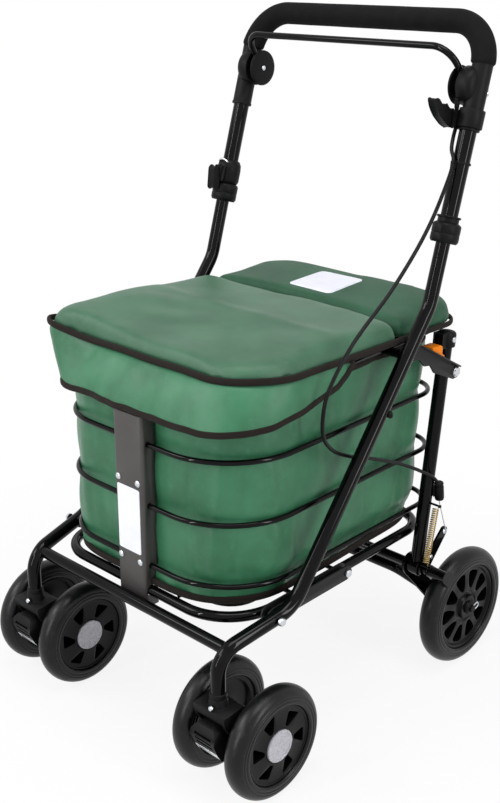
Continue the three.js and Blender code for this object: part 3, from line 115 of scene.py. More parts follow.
class Surface:

    def __init__(self, name, world=None):
        if world is None:
            self.material = bpy.data.materials.new(name)
            self.material.use_nodes = True
            self.tree = self.material.node_tree
        else:
            world.use_nodes = True
            self.tree = world.node_tree
        self.tree.nodes.clear()

    def node(self, kind, settings=None, values=None, out=0):
        node = self.tree.nodes.new("ShaderNode" + kind)
        for key, value in (settings or {}).items():
            setattr(node, key, value)
        for key, value in (values or {}).items():
            if isinstance(value, Sock):
                self.tree.links.new(value.socket, node.inputs[key])
            else:
                node.inputs[key].default_value = value
        return Sock(self.tree, node.outputs[out]) if len(node.outputs) else None

    def place(self):
        return self.node("TexCoord", out="Object")

    def uv(self):
        return self.node("UVMap")

    def noise(self, scale, detail=3, rough=0.5, where=None, stretch=None):
        where = where or self.place()
        if stretch:
            where = self.node("Mapping", None, {"Vector": where, "Scale": stretch})
        values = {"Vector": where, "Scale": scale, "Detail": detail, "Roughness": rough}
        return self.node("TexNoise", None, values)

    def mix(self, share, first, second):
        return self.node("Mix", {"data_type": "RGBA"}, {0: share, 6: first, 7: second}, 2)

    def soft(self, value, low, high):
        return self.node("MapRange", {"interpolation_type": "SMOOTHSTEP"}, {0: value, 1: low, 2: high})

    def bump(self, height, distance, strength=1.0, normal=None):
        values = {"Height": height, "Distance": distance, "Strength": strength}
        if normal:
            values["Normal"] = normal
        return self.node("Bump", None, values)

    def finish(self, **sockets):
        names = {"base": "Base Color", "rough": "Roughness", "metal": "Metallic", "coat": "Coat Weight",
                 "specular": "Specular IOR Level", "sheen": "Sheen Weight", "normal": "Normal"}
        shader = self.node("BsdfPrincipled", None, {names[k]: v for k, v in sockets.items()})
        self.node("OutputMaterial", None, {"Surface": shader})
        return self.material


def shade(colour):
    # sRGB 0..255 to linear, with the fourth value that a socket wants.
    c = np.array(colour) / 255
    linear = np.where(c <= 0.04045, c / 12.92, ((c + 0.055) / 1.055) ** 2.4)
    return (*[float(v) for v in linear], 1.0)


studio = {
    "fill": (0.96, 0.97, 1.0, 1), "fillPower": 0.34, "white": (1, 1, 1, 1),
    "floor": (0.86, 0.86, 0.86, 1), "floorHalf": 30, "fade": (0.3, 0.9), "nearWhite": 0.88,
}


def seenDirectly(s):
    # 1 for the rays that should meet plain white: from the camera, off gloss and through glass
    path = s.tree.nodes.new("ShaderNodeLightPath")
    seen = Sock(s.tree, path.outputs["Is Camera Ray"])
    for name in ("Is Glossy Ray", "Is Transmission Ray"):
        seen = seen.most(Sock(s.tree, path.outputs[name]))
    return seen


def addWorld(look):
    world = bpy.data.worlds.new("studio")
    bpy.context.scene.world = world
    s = Surface("studio", world)
    plain = s.node("Background", None, {"Color": look["fill"], "Strength": look["fillPower"]})
    white = s.node("Background", None, {"Color": look["white"], "Strength": 1.0})
    mixed = s.node("MixShader", None, {0: seenDirectly(s), 1: plain, 2: white})
    s.node("OutputWorld", None, {"Surface": mixed})


def addFloor(look):
    # a wide matt sheet that looks nearly white under the object and white further out
    s = Surface("floorWhite")
    matt = s.node("BsdfDiffuse", None, {"Color": look["floor"]})
    lit = s.node("Emission", None, {"Color": look["white"], "Strength": 1.0})
    away = s.node("VectorMath", {"operation": "LENGTH"}, {0: s.place()}, 1)
    white = s.soft(away, *look["fade"]) * (1 - look["nearWhite"]) + look["nearWhite"]
    mixed = s.node("MixShader", None, {0: seenDirectly(s) * white, 1: matt, 2: lit})
    s.node("OutputMaterial", None, {"Surface": mixed})
    half = look["floorHalf"]
    mesh = bpy.data.meshes.new("floor")
    corners = [(-half, -half, 0), (half, -half, 0), (half, half, 0), (-half, half, 0)]
    mesh.from_pydata(corners, [], [(0, 1, 2, 3)])
    mesh.materials.append(s.material)
    floor = bpy.data.objects.new("floor", mesh)
    bpy.context.scene.collection.objects.link(floor)


lamps = {  # place, aimed at, size, power
    "keyLeft": ((-1.5, -2.1, 2.2), (0, 0, 0.45), (1.3, 1.0), 33),
    "stripFront": ((-0.25, -2.7, 1.25), (0, 0, 0.5), (0.12, 1.8), 24),
    "overHead": ((0.6, -0.4, 2.9), (0, 0, 0.4), (1.6, 1.1), 32),
    "stripRight": ((2.6, 0.1, 1.4), (0, 0, 0.5), (0.45, 1.9), 30),
}


def addLamps(s):
    for name, (place, aim, size, power) in s.items():
        data = bpy.data.lights.new(name, "AREA")
        data.shape, data.size, data.size_y, data.energy = "RECTANGLE", size[0], size[1], power
        lamp = bpy.data.objects.new(name, data)
        bpy.context.scene.collection.objects.link(lamp)
        lamp.location = place
        lamp.rotation_euler = (Vector(aim) - Vector(place)).to_track_quat("-Z", "Y").to_euler()


addWorld(studio)
addFloor(studio)
addLamps(lamps)
print("stage: camera, world, floor and lamps")


def glossPaint():
    s = Surface("glossBlackPaint")
    peel = s.noise(900, 2)
    dust = s.soft(s.noise(38, 4, 0.6), 0.45, 0.75)
    return s.finish(base=s.mix(dust, (0.0012, 0.0012, 0.0014, 1), (0.0035, 0.0035, 0.0038, 1)),
                    rough=0.07 + dust * 0.07, specular=0.14, normal=s.bump(peel, 0.00001, 0.15))


def satinPlate(name, low, high):
    s = Surface(name)
    grain = s.noise(1400, 3)
    cloud = s.noise(22, 3)
    return s.finish(base=s.mix(cloud, low, high), metal=0.3, rough=0.36 + cloud * 0.14, specular=0.3,
                    normal=s.bump(grain, 0.00005, 0.5))


def greenVinyl(name, dark, light, rough=0.36, shine=0.36):
    s = Surface(name)
    cell = s.node("TexVoronoi", {"feature": "DISTANCE_TO_EDGE"}, {"Vector": s.place(), "Scale": 1050}, 0)
    grain = s.soft(cell, 0.0, 0.22)
    cloud = s.soft(s.noise(13, 4, 0.55), 0.3, 0.7)
    rub = s.soft(s.noise(70, 5, 0.65), 0.5, 0.78)
    crease = s.noise(46, 4, 0.6)
    normal = s.bump(crease, 0.0011, 0.35, s.bump(grain, 0.00011, 0.5))
    return s.finish(base=s.mix(cloud, s.mix(rub, dark, light), light), rough=rough + rub * 0.10 - grain * 0.03,
                    specular=shine, normal=normal)


def braidTape():
    s = Surface("braidTape")
    along = s.node("SeparateXYZ", None, {0: s.uv()}, 0)
    across = s.node("SeparateXYZ", None, {0: s.uv()}, 1)
    rib = (along * 2600 + across * 1500).sine() * 0.5 + 0.5
    counter = (along * 2600 - across * 1500).sine() * 0.5 + 0.5
    weave = rib.most(counter)
    fuzz = s.noise(900, 3)
    return s.finish(base=s.mix(weave * fuzz, shade((14, 11, 10)), shade((50, 42, 37))), rough=0.85,
                    specular=0.15, sheen=0.04, normal=s.bump(weave + fuzz * 0.4, 0.0006, 0.8))


def mouldedPlastic(name, low, high, rough=0.42):
    s = Surface(name)
    grain = s.noise(1700, 2)
    cloud = s.noise(45, 4, 0.6)
    return s.finish(base=s.mix(cloud, low, high), rough=rough + cloud * 0.12, specular=0.12,
                    normal=s.bump(grain, 0.00006, 0.5))


def foamSkin():
    s = Surface("foamSkin")
    pore = s.node("TexVoronoi", {"feature": "F1"}, {"Vector": s.place(), "Scale": 1500}, 0)
    cloud = s.noise(60, 4)
    return s.finish(base=s.mix(cloud, shade((13, 12, 13)), shade((27, 26, 27))), rough=0.92, specular=0.12,
                    normal=s.bump(pore, 0.0003, 0.55))


def brightMetal(name, low, high, rough=0.22):
    s = Surface(name)
    scratch = s.noise(420, 3, 0.5, stretch=(1, 1, 6))
    return s.finish(base=s.mix(scratch, low, high), metal=1.0, rough=rough + scratch * 0.16,
                    normal=s.bump(scratch, 0.00004, 0.4))


def tyreRubber():
    s = Surface("tyreRubber")
    grain = s.noise(1300, 2)
    scuff = s.soft(s.noise(90, 5, 0.65), 0.52, 0.74)
    return s.finish(base=s.mix(scuff, shade((8, 8, 9)), shade((26, 26, 26))), rough=0.33 + scuff * 0.2,
                    specular=0.26, normal=s.bump(grain, 0.00009, 0.5))


def reflectorFace():
    s = Surface("reflectorFace")
    cell = s.node("TexVoronoi", {"feature": "DISTANCE_TO_EDGE"}, {"Vector": s.place(), "Scale": 620}, 0)
    facet = s.node("TexVoronoi", None, {"Vector": s.place(), "Scale": 620}, 1)
    glint = s.node("RGBToBW", None, {0: facet})
    return s.finish(base=s.mix(glint * 0.7, shade((158, 156, 164)), shade((212, 210, 218))), rough=0.22,
                    coat=0.6, normal=s.bump(s.soft(cell, 0, 0.12), 0.0003, 0.6))


def barePatch():
    s = Surface("barePatch")
    thread = s.noise(1500, 2)
    cloud = s.noise(60, 3)
    return s.finish(base=s.mix(cloud, shade((228, 230, 242)), shade((243, 243, 250))), rough=0.5,
                    normal=s.bump(thread, 0.00008, 0.5))


paint = {
    "gloss": glossPaint(),
    "plate": satinPlate("satinGreyPaint", shade((66, 64, 63)), shade((84, 81, 80))),
    "bracket": satinPlate("satinBlackPaint", shade((20, 20, 21)), shade((34, 34, 35))),
    "vinyl": greenVinyl("greenVinyl", shade((42, 97, 66)), shade((57, 118, 84))),
    # a greyer, duller copy of the green vinyl for the lid's top: painted shade from how the light falls on the
    # top
    "vinylTopPaintedShade": greenVinyl("greenVinylTopPaintedShade", shade((50, 90, 66)), shade((66, 108, 82)), 0.42),
    # a darker, matter copy of the green vinyl for the rear pad: painted shade of the cushion that lies behind
    # the lid
    "vinylRearPaintedShade": greenVinyl("greenVinylRearPaintedShade", shade((40, 76, 55)), shade((50, 90, 67)), 0.5, 0.16),
    "braid": braidTape(),
    "plastic": mouldedPlastic("blackPlastic", shade((7, 7, 8)), shade((19, 19, 20))),
    "board": mouldedPlastic("blackBoard", shade((8, 8, 8)), shade((18, 18, 18)), 0.6),
    "foam": foamSkin(),
    "orange": mouldedPlastic("orangePlastic", shade((240, 122, 20)), shade((252, 146, 34)), 0.34),
    "zinc": brightMetal("zincPlate", shade((176, 180, 184)), shade((232, 235, 238))),
    "brass": brightMetal("springBrass", shade((150, 128, 84)), shade((192, 170, 122)), 0.34),
    "tyre": tyreRubber(),
    "rim": mouldedPlastic("rimPlastic", shade((6, 6, 7)), shade((15, 15, 16)), 0.2),
    "cable": mouldedPlastic("cableSkin", shade((9, 9, 10)), shade((18, 18, 19)), 0.26),
    "reflector": reflectorFace(),
    "patch": barePatch(),
}
print("finishes:", len(paint))


def meshFrom(name, points, faces, uv=None):
    mesh = bpy.data.meshes.new(name)
    mesh.from_pydata((np.asarray(points, float) * metre).tolist(), [], [list(f) for f in faces])
    if uv is not None:
        layer = mesh.uv_layers.new(name="UVMap")
        layer.data.foreach_set("uv", np.asarray(uv, np.float32).ravel())
    mesh.update()
    return mesh


def signedVolume(mesh):
    mesh.calc_loop_triangles()
    co = np.zeros(len(mesh.vertices) * 3)
    mesh.vertices.foreach_get("co", co)
    co = co.reshape(-1, 3)
    tri = np.zeros(len(mesh.loop_triangles) * 3, int)
    mesh.loop_triangles.foreach_get("vertices", tri)
    a, b, c = (co[tri.reshape(-1, 3)[:, k]] for k in range(3))
    return float(np.einsum("ij,ij->i", a, np.cross(b, c)).sum() / 6)


def gridMesh(name, grid, closeU=False, closeV=True):
    # Quads between neighbouring rows and columns; uv is running length by share of the way round.
    nu, nv = grid.shape[:2]
    iu = np.arange(nu if closeU else nu - 1)
    iv = np.arange(nv if closeV else nv - 1)
    a, b = (m.ravel() for m in np.meshgrid(iu, iv, indexing="ij"))
    a2, b2 = (a + 1) % nu, (b + 1) % nv
    quads = np.stack([a * nv + b, a2 * nv + b, a2 * nv + b2, a * nv + b2], 1)
    step = np.linalg.norm(np.diff(grid, axis=0, append=grid[:1]), axis=2).mean(1)
    runU = np.concatenate([[0], np.cumsum(step)]) * metre
    stepV = np.linalg.norm(np.diff(grid, axis=1, append=grid[:, :1]), axis=2).mean(0)
    runV = np.concatenate([[0], np.cumsum(stepV)]) * metre
    uv = np.stack([np.stack([runU[a], runV[b]], 1), np.stack([runU[a + 1], runV[b]], 1),
                   np.stack([runU[a + 1], runV[b + 1]], 1), np.stack([runU[a], runV[b + 1]], 1)], 1)
    faces, coords = quads.tolist(), uv.reshape(-1, 2).tolist()
    if closeV and not closeU:   # flat ends
        for row in (list(range(nv))[::-1], list(range((nu - 1) * nv, nu * nv))):
            faces.append(row)
            coords += [[0.0, 0.0]] * nv
    mesh = meshFrom(name, grid.reshape(-1, 3), faces, coords)
    if signedVolume(mesh) < 0:
        mesh.flip_normals()
    return mesh


def joinMeshes(name, meshes):
    bm = bmesh.new()
    for mesh in meshes:
        bm.from_mesh(mesh)
    out = bpy.data.meshes.new(name)
    bm.to_mesh(out)
    bm.free()
    return out


def addPiece(name, mesh, finish, body, stands=(), sharp=38):
    mesh.materials.clear()
    mesh.materials.append(paint[finish])
    mesh.shade_smooth()
    mesh.set_sharp_from_angle(angle=math.radians(sharp))
    obj = bpy.data.objects.new(name, mesh)
    bpy.context.scene.collection.objects.link(obj)
    if body:
        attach(obj, body)
    if stands:
        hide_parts(*stands)
    return obj


def addSteel(name, mesh, body, node):
    return addPiece(name, mesh, "gloss", body, [node])


def addBlack(name, mesh, body, *stands):
    return addPiece(name, mesh, "plastic", body, stands)


def addTape(name, mesh, body):
    return addPiece(name, mesh, "braid", body, sharp=60)


def settle(obj):
    # Applies what modifiers the object has, in place.
    bpy.context.view_layer.update()
    graph = bpy.context.evaluated_depsgraph_get()
    mesh = bpy.data.meshes.new_from_object(obj.evaluated_get(graph))
    obj.modifiers.clear()
    obj.data = mesh
    return obj


def bevelled(mesh, width, segments=2, limit=35):
    # Rounds the edges that turn by more than the limit, in degrees.
    obj = bpy.data.objects.new("bevelling", mesh)
    bpy.context.scene.collection.objects.link(obj)
    m = obj.modifiers.new("bevel", "BEVEL")
    m.width, m.segments, m.limit_method = width * metre, segments, "ANGLE"
    m.angle_limit, m.harden_normals = math.radians(limit), False
    settle(obj)
    mesh = obj.data
    bpy.data.objects.remove(obj)
    return mesh


def cutMesh(mesh, tools):
    # Takes the tools' meshes out of a mesh.
    holder = bpy.data.objects.new("cutting", mesh)
    tool = bpy.data.objects.new("tool", joinMeshes("tool", tools))
    for o in (holder, tool):
        bpy.context.scene.collection.objects.link(o)
    m = holder.modifiers.new("cut", "BOOLEAN")
    m.operation, m.solver, m.object, m.use_self = "DIFFERENCE", "EXACT", tool, False
    settle(holder)
    mesh = holder.data
    bpy.data.objects.remove(holder)
    bpy.data.objects.remove(tool)
    return mesh


def refined(node, width):
    # A copy of a CAD node, merged, its flat faces made whole and its edges rounded.
    bm = bmesh.new()
    bm.from_mesh(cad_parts[node].data)
    bmesh.ops.remove_doubles(bm, verts=bm.verts, dist=3e-6)
    bmesh.ops.dissolve_limit(bm, angle_limit=math.radians(1), verts=bm.verts, edges=bm.edges)
    mesh = bpy.data.meshes.new(node + "Copy")
    bm.to_mesh(mesh)
    bm.free()
    return bevelled(mesh, width)


def unit(v):
    return v / np.linalg.norm(v, axis=-1, keepdims=True)


def bentPath(stops, steps=14):
    # Straight runs with round corners: each stop is x, y, z, corner radius.
    stops = np.array([list(s) + [0] * (4 - len(s)) for s in stops], float)
    points = [stops[:1, :3]]
    for before, here, after in zip(stops[:-2], stops[1:-1], stops[2:]):
        radius, at = here[3], here[:3]
        if radius <= 0:
            points.append(at[None])
            continue
        into, out = unit(before[:3] - at), unit(after[:3] - at)
        half = math.acos(np.clip(into @ out, -1, 1)) / 2
        centre = at + unit(into + out) * radius / math.sin(half)
        start = unit(at + into * radius / math.tan(half) - centre)
        end = unit(at + out * radius / math.tan(half) - centre)
        sweepAngle = math.acos(np.clip(start @ end, -1, 1))
        t = np.linspace(0, 1, steps + 1)[:, None]
        spoke = (np.sin((1 - t) * sweepAngle) * start + np.sin(t * sweepAngle) * end) / math.sin(sweepAngle)
        points.append(centre + spoke * radius)
    points.append(stops[-1:, :3])
    return np.concatenate(points)


def circle(radius, sides):
    a = np.linspace(0, 2 * np.pi, sides, endpoint=False)
    return np.stack([radius * np.cos(a), radius * np.sin(a)], 1)


def sweep(path, profile, ref=(1, 0, 0), closed=False, scale=None):
    # The profile carried along the path: point = path + side * a + up * b, side = along x ref.
    path = np.asarray(path, float)
    if closed:
        before, after = path - np.roll(path, 1, 0), np.roll(path, -1, 0) - path
    else:
        step = np.diff(path, axis=0)
        before, after = np.concatenate([step[:1], step]), np.concatenate([step, step[-1:]])
    along = unit(unit(before) + unit(after))
    side = unit(np.cross(along, np.asarray(ref, float)))
    up = np.cross(side, along)
    shape = np.broadcast_to(profile, (len(path),) + np.asarray(profile).shape[-2:])
    if scale is not None:
        shape = shape * np.asarray(scale)[:, None, None]
    return path[:, None] + side[:, None] * shape[..., :1] + up[:, None] * shape[..., 1:]


def tubeMesh(name, stops, radius, sides=24, ref=(1, 0, 0), steps=14, side=1):
    grid = sweep(bentPath(stops, steps), circle(radius, sides), ref)
    return gridMesh(name, grid * np.array([side, 1, 1]))


def revolve(name, profile, origin, axis=(1, 0, 0), segments=64, side=1):
    # A profile of radius and height turned about an axis: both ends close on the axis or themselves.
    axis = unit(np.asarray(axis, float))
    first = unit(np.cross(axis, (0, 0, 1) if abs(axis[2]) < 0.9 else (0, 1, 0)))
    second = np.cross(axis, first)
    a = np.linspace(0, 2 * np.pi, segments, endpoint=False)[:, None, None]
    r, h = np.asarray(profile, float).T[:, None, :, None]
    grid = np.asarray(origin, float) + axis * h + r * (np.cos(a) * first + np.sin(a) * second)
    grid = grid * np.array([side, 1, 1])
    mesh = gridMesh(name, grid, closeU=True, closeV=True)
    bm = bmesh.new()
    bm.from_mesh(mesh)
    bmesh.ops.remove_doubles(bm, verts=bm.verts, dist=1e-6)
    bm.to_mesh(mesh)
    bm.free()
    return mesh


def prism(name, outline, x1, x2, width=0.6, side=1):
    # An outline of y, z carried along X, with its edges rounded.
    outline = np.asarray(outline, float)
    low = np.column_stack([np.full(len(outline), x1), outline])
    high = np.column_stack([np.full(len(outline), x2), outline])
    mesh = gridMesh(name, np.stack([low, high]) * np.array([side, 1, 1]))
    return bevelled(mesh, width, 2, 30) if width else mesh


def roundedLoop(halfFront, halfRear, front, rear, cornerFront, cornerRear, z=0.0, steps=16, straight=10,
                left=None):
    # Outline from above, anticlockwise from the left front corner, whose radius is left where that is given.
    corners = [(-halfFront, front, left or cornerFront, np.pi), (halfFront, front, cornerFront, 1.5 * np.pi),
               (halfRear, rear, cornerRear, 0.0), (-halfRear, rear, cornerRear, 0.5 * np.pi)]
    arcs = []
    for x, y, r, start in corners:
        a = start + np.linspace(0, np.pi / 2, steps + 1)
        centreY = y + r if y == front else y - r
        arcs.append(np.stack([x - np.sign(x) * r + r * np.cos(a), centreY + r * np.sin(a)], 1))
    runs = []
    for here, after in zip(arcs, arcs[1:] + arcs[:1]):
        t = np.linspace(0, 1, straight + 1)[1:-1, None]
        runs += [here, here[-1] * (1 - t) + after[0] * t]
    flat = np.concatenate(runs)
    return np.column_stack([flat, np.full(len(flat), z)])


def loopOf(s, z=0.0):
    # The outline that a piece's settings give.
    half, halfRear = s["half"], s.get("halfRear", s["half"])
    corner, cornerRear = s["corner"], s.get("cornerRear", s["corner"])
    return roundedLoop(half, halfRear, s["front"], s["rear"], corner, cornerRear, z, left=s.get("left"))


def evenly(loop, count, closed=True):
    # The same line with its points an equal way apart.
    line = np.concatenate([loop, loop[:1]]) if closed else loop
    run = np.concatenate([[0], np.cumsum(np.linalg.norm(np.diff(line, axis=0), axis=1))])
    want = np.linspace(0, run[-1], count, endpoint=not closed)
    return np.stack([np.interp(want, run, line[:, k]) for k in range(line.shape[1])], 1)


def ripple(u, v, seed, count=7):
    # Smooth unevenness: a sum of cosines of u and v with seeded directions, about -1 to 1.
    rng = np.random.default_rng(seed)
    turn = rng.uniform(0, 2 * np.pi, count)
    pace = rng.uniform(1.0, 4.0, count)
    phase = rng.uniform(0, 2 * np.pi, count)
    total = sum(np.cos(k * (u * np.cos(a) + v * np.sin(a)) + p) for a, k, p in zip(turn, pace, phase))
    return total / math.sqrt(count)


def smooth(x, low, high):
    # 0 below low, 1 above high, with an eased rise between
    t = np.clip((x - low) / (high - low), 0, 1)
    return t * t * (3 - 2 * t)


def climb(x, height, low, high):
    return height * smooth(x, low, high)


def link(y1, z1, r1, y2, z2, r2, steps=12):
    # Outline round two circles seen from the side.
    along = math.atan2(z2 - z1, y2 - y1)
    t = np.linspace(0, np.pi, steps + 1)
    first = np.stack([y1 + r1 * np.cos(along + np.pi / 2 + t), z1 + r1 * np.sin(along + np.pi / 2 + t)], 1)
    second = np.stack([y2 + r2 * np.cos(along - np.pi / 2 + t), z2 + r2 * np.sin(along - np.pi / 2 + t)], 1)
    return np.concatenate([first, second])


bothSides = (("right", 1), ("left", -1))
rise = np.array([0, 0.2812, 0.9596])   # the uprights lean back along this
uprightFoot = (200.0, 104.5, 556)   # where an upright leaves its bend
stem = (184, -262.5)   # x and y of a caster's stem
rearAxle = (204.2, 87.3)   # y and z, as the next two
brakePivot = (140.8, 160.7)
legTop = (183, 500)


def onUpright(z, x=uprightFoot[0]):
    return np.array([x, uprightFoot[1] + (z - uprightFoot[2]) / rise[2] * rise[1], z])


def onLeg(z):
    # y of the rear leg's line at a height
    (y1, z1), (y2, z2) = brakePivot, legTop
    return y1 + (y2 - y1) * (z - z1) / (z2 - z1)


def boltHead(name, at, axis, radius, body, height=3.0):
    # a domed head, in shares of its radius and height, sunk by 1 mm
    profile = [(0, -1), (radius, -1), (radius, height * 0.45), (radius * 0.8, height * 0.85),
               (radius * 0.35, height), (0, height)]
    addPiece(name, revolve(name, profile, at, axis, 28), "zinc", body)


cable = {
    "radius": 2.5, "wire": 0.8,
    "route": [(184, 163.9, 775.6), (184.5, 159, 765), (190, 148.6, 750), (198, 142.5, 738), (202, 112, 690),
              (203, 78, 648), (204, 22, 597), (206, -58, 540), (206, -98, 492), (205, -105, 462),
              (201, -98, 434), (195, -74, 409), (187, -30, 385), (184, 24, 364), (183.5, 84, 338),
              (186, 128, 314), (189, 152, 298), (190, 160.5, 289.5)],
    "joinAt": 9,   # the point of the route where the two cords meet
    "upperBlend": ((0, 160, 770), (0, -60, 540)), "lowerBlend": ((187, -30, 385), (190, 160.5, 289.5)),
}


def splined(points, steps):
    # A centripetal spline through the points, sampled evenly.
    p = np.asarray(points, float)
    p = np.concatenate([[2 * p[0] - p[1]], p, [2 * p[-1] - p[-2]]])
    knots = np.concatenate([[0], np.cumsum(np.linalg.norm(np.diff(p, axis=0), axis=1) ** 0.5)])
    out = []
    for i in range(1, len(p) - 2):
        t0, t1, t2, t3 = knots[i - 1:i + 3]
        t = np.linspace(t1, t2, 12, endpoint=False)[:, None]
        a1 = (t1 - t) / (t1 - t0) * p[i - 1] + (t - t0) / (t1 - t0) * p[i]
        a2 = (t2 - t) / (t2 - t1) * p[i] + (t - t1) / (t2 - t1) * p[i + 1]
        a3 = (t3 - t) / (t3 - t2) * p[i + 1] + (t - t2) / (t3 - t2) * p[i + 2]
        b1 = (t2 - t) / (t2 - t0) * a1 + (t - t0) / (t2 - t0) * a2
        b2 = (t3 - t) / (t3 - t1) * a2 + (t - t1) / (t3 - t1) * a3
        out.append((t2 - t) / (t2 - t1) * b1 + (t - t1) / (t2 - t1) * b2)
    out.append(p[-2:-1])
    return evenly(np.concatenate(out), steps, False)


def pathLength(path):
    return float(np.linalg.norm(np.diff(path, axis=0), axis=1).sum())


def addCable(s):
    whole = splined(s["route"], 240)
    turn = int(np.argmin(np.linalg.norm(whole - np.array(s["route"][s["joinAt"]]), axis=1)))
    parts = [("cableUpper", whole[:turn + 1], ("handle", "frame"), s["upperBlend"]),
             ("cableLower", whole[turn:], ("frame", "rear_frame"), s["lowerBlend"])]
    for name, path, (first, second), (start, end) in parts:
        mesh = gridMesh(name, sweep(path, circle(s["radius"], 14)))
        obj = addPiece(name, mesh, "cable", None, ["brake_cable"] if name == "cableUpper" else ())
        tuple(v * metre for v in start)
        tuple(v * metre for v in end)
        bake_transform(obj)
        tuple(path[0] * metre)
        2 * s["radius"] * metre
        (path * metre).tolist()
        print(name, "length", round(pathLength(path)), "mm")


addCable(cable)


mainFrame = {
    "tube": 9.5,
    "stops": [(200, 156.9, 738), (*uprightFoot, 60), (200, -149, 222, 60), (*stem, 198, 34), (*stem, 141)],
    "bar": {"radius": 8, "y": -245.8, "z": 197, "half": 178},
    "rings": {"radius": 3.5, "levels": (413, 330, 246), "front": -227.5, "rear": 198, "half": 174,
              "halfRear": 159, "corner": 104, "left": 84, "cornerRear": 46},
    "platform": {"radius": 7, "z": 210, "front": -227.5, "rear": 186.5, "half": 171, "halfRear": 155,
                 "corner": 76, "left": 56, "cornerRear": 52},
    "postInside": 21,   # rods and platform tube end this far from the middle, inside the front post
}


def ringStops(s, z):
    return [(mainFrame["postInside"], s["front"], z), (s["half"], s["front"], z, s["corner"]),
            (s["halfRear"], s["rear"], z, s["cornerRear"]), (-s["halfRear"], s["rear"], z, s["cornerRear"]),
            (-s["half"], s["front"], z, s["left"]), (-mainFrame["postInside"], s["front"], z)]


def addMainFrame(s):
    for word, side in bothSides:
        tube = tubeMesh("sideTube", s["stops"], s["tube"], 32, side=side)
        addSteel("sideTube_" + word, tube, "frame", "side_tube_" + word)
        x, y, z = s["stops"][-1]
        r = s["tube"]
        profile = [(0, -1), (r + 1.4, -1), (r + 1.8, 1), (r + 1.4, 5), (r, 6), (0, 6)]
        collar = revolve("stemCollar", profile, (side * x, y, z + 0.5), (0, 0, 1), 32)
        addBlack("stemCollar_" + word, collar, "frame")
    b = s["bar"]
    line = np.column_stack([np.linspace(-b["half"], b["half"], 9), np.full(9, b["y"]), np.full(9, b["z"])])
    bar = gridMesh("frontBar", sweep(line, circle(b["radius"], 28), (0, 0, 1)))
    addSteel("frontBar", bar, "frame", "front_crossbar")
    r = s["rings"]
    for n, z in enumerate(r["levels"], 1):
        mesh = tubeMesh("rod", ringStops(r, z), r["radius"], 14, (0, 0, 1), 18)
        addSteel("basketRod_%d" % n, mesh, "frame", "basket_ring_%d" % n)
    p = s["platform"]
    mesh = tubeMesh("platform", ringStops(p, p["z"]), p["radius"], 22, (0, 0, 1), 18)
    addSteel("platformTube", mesh, "frame", "platform_frame")


addMainFrame(mainFrame)

platformGrid = {
    "wire": 3.0, "z": 210, "half": 137, "halfRear": 121, "front": -193.5, "rear": 152.5, "corner": 40,
    "across": (-107, -20.5, 66), "sag": 0.4, "intoTube": 0.4,
    "along": (-68.5, 0, 68.5), "over": 4.8, "alongRear": 179, "alongFront": -219.5, "middleFront": -208.5,
}


def addGrid(s, tube):
    # a wire loop inside the platform tube, with wires across it and lengthways over them
    parts = []
    loop = evenly(loopOf(s, s["z"]), 140)
    parts.append(gridMesh("wire", sweep(loop, circle(s["wire"], 12), (0, 0, 1), True), closeU=True))
    for y in s["across"]:
        narrowing = (y - tube["front"]) * (tube["half"] - tube["halfRear"]) / (tube["rear"] - tube["front"])
        half = tube["half"] - tube["radius"] + s["intoTube"] - narrowing
        path = np.array([(-half, y, s["z"]), (0, y, s["z"] - s["sag"]), (half, y, s["z"])], float)
        parts.append(gridMesh("wire", sweep(path, circle(s["wire"], 12), (0, 0, 1))))
    for x in s["along"]:
        start, high = s["alongFront"] if x else s["middleFront"], s["z"] + s["over"]
        path = np.array([(x, start, high), (x, 0, high - 0.2), (x, s["alongRear"], high)], float)
        parts.append(gridMesh("wire", sweep(path, circle(s["wire"], 12))))
    addSteel("platformWires", joinMeshes("platformWires", parts), "frame", "platform_grid")


addGrid(platformGrid, mainFrame["platform"])

post = {
    "bevel": 0.5, "label": {"half": 21, "low": 262, "high": 352, "corner": 1.2, "y": -238.9},
    "rivet": {"y": -238.4, "radius": 4.4, "tall": 2.4,
              "places": [(x, z) for z in (361, 251) for x in (-18.5, 18.5)]},
}


def addPost(s):
    mesh = refined("front_post", s["bevel"])
    addPiece("frontPost", mesh, "plate", "frame", ["front_post"], 45)
    b = s["label"]
    loop = roundedLoop(b["half"], b["half"], b["low"], b["high"], b["corner"], b["corner"], 0, 4, 3)
    x, z = evenly(loop, 90).T[:2]
    middle = (b["low"] + b["high"]) / 2
    layers = [np.stack([x * k, np.full(len(x), b["y"] - out), (z - middle) * k + middle], 1)
              for k, out in ((1, -0.3), (1, 0.35), (0.99, 0.5))]
    addPiece("labelPlate", gridMesh("labelPlate", np.stack(layers)), "patch", "frame")
    r = s["rivet"]
    for n, (x, z) in enumerate(r["places"], 1):
        boltHead("postRivet_%d" % n, (x, r["y"], z), (0, -1, 0), r["radius"], "frame", r["tall"])


addPost(post)

seatLoop = {
    "radius": 7, "half": 170, "halfRear": 150, "front": -188, "rear": 205, "corner": 66, "cornerRear": 44,
    "z": 500, "lug": {"x": 157, "y": 62, "radius": 6, "length": 30},
}


def addSeatLoop(s):
    loop = evenly(loopOf(s, s["z"]), 160)
    parts = [gridMesh("loop", sweep(loop, circle(s["radius"], 20), (0, 0, 1), True), closeU=True)]
    g = s["lug"]
    profile = [(0, 0), (g["radius"], 0), (g["radius"], g["length"]), (0, g["length"])]
    for side in (1, -1):
        parts.append(revolve("lug", profile, (side * g["x"], g["y"], s["z"]), (side, 0, 0), 24))
    addSteel("seatLoop", joinMeshes("seatLoop", parts), "frame", "seat_frame")


addSeatLoop(seatLoop)

for name in ("foot_bracket", "fold_bracket"):
    for word in ("right", "left"):
        node = "%s_%s" % (name, word)
        addPiece(node + "_plate", refined(node, 0.5), "bracket", "frame", [node], 40)

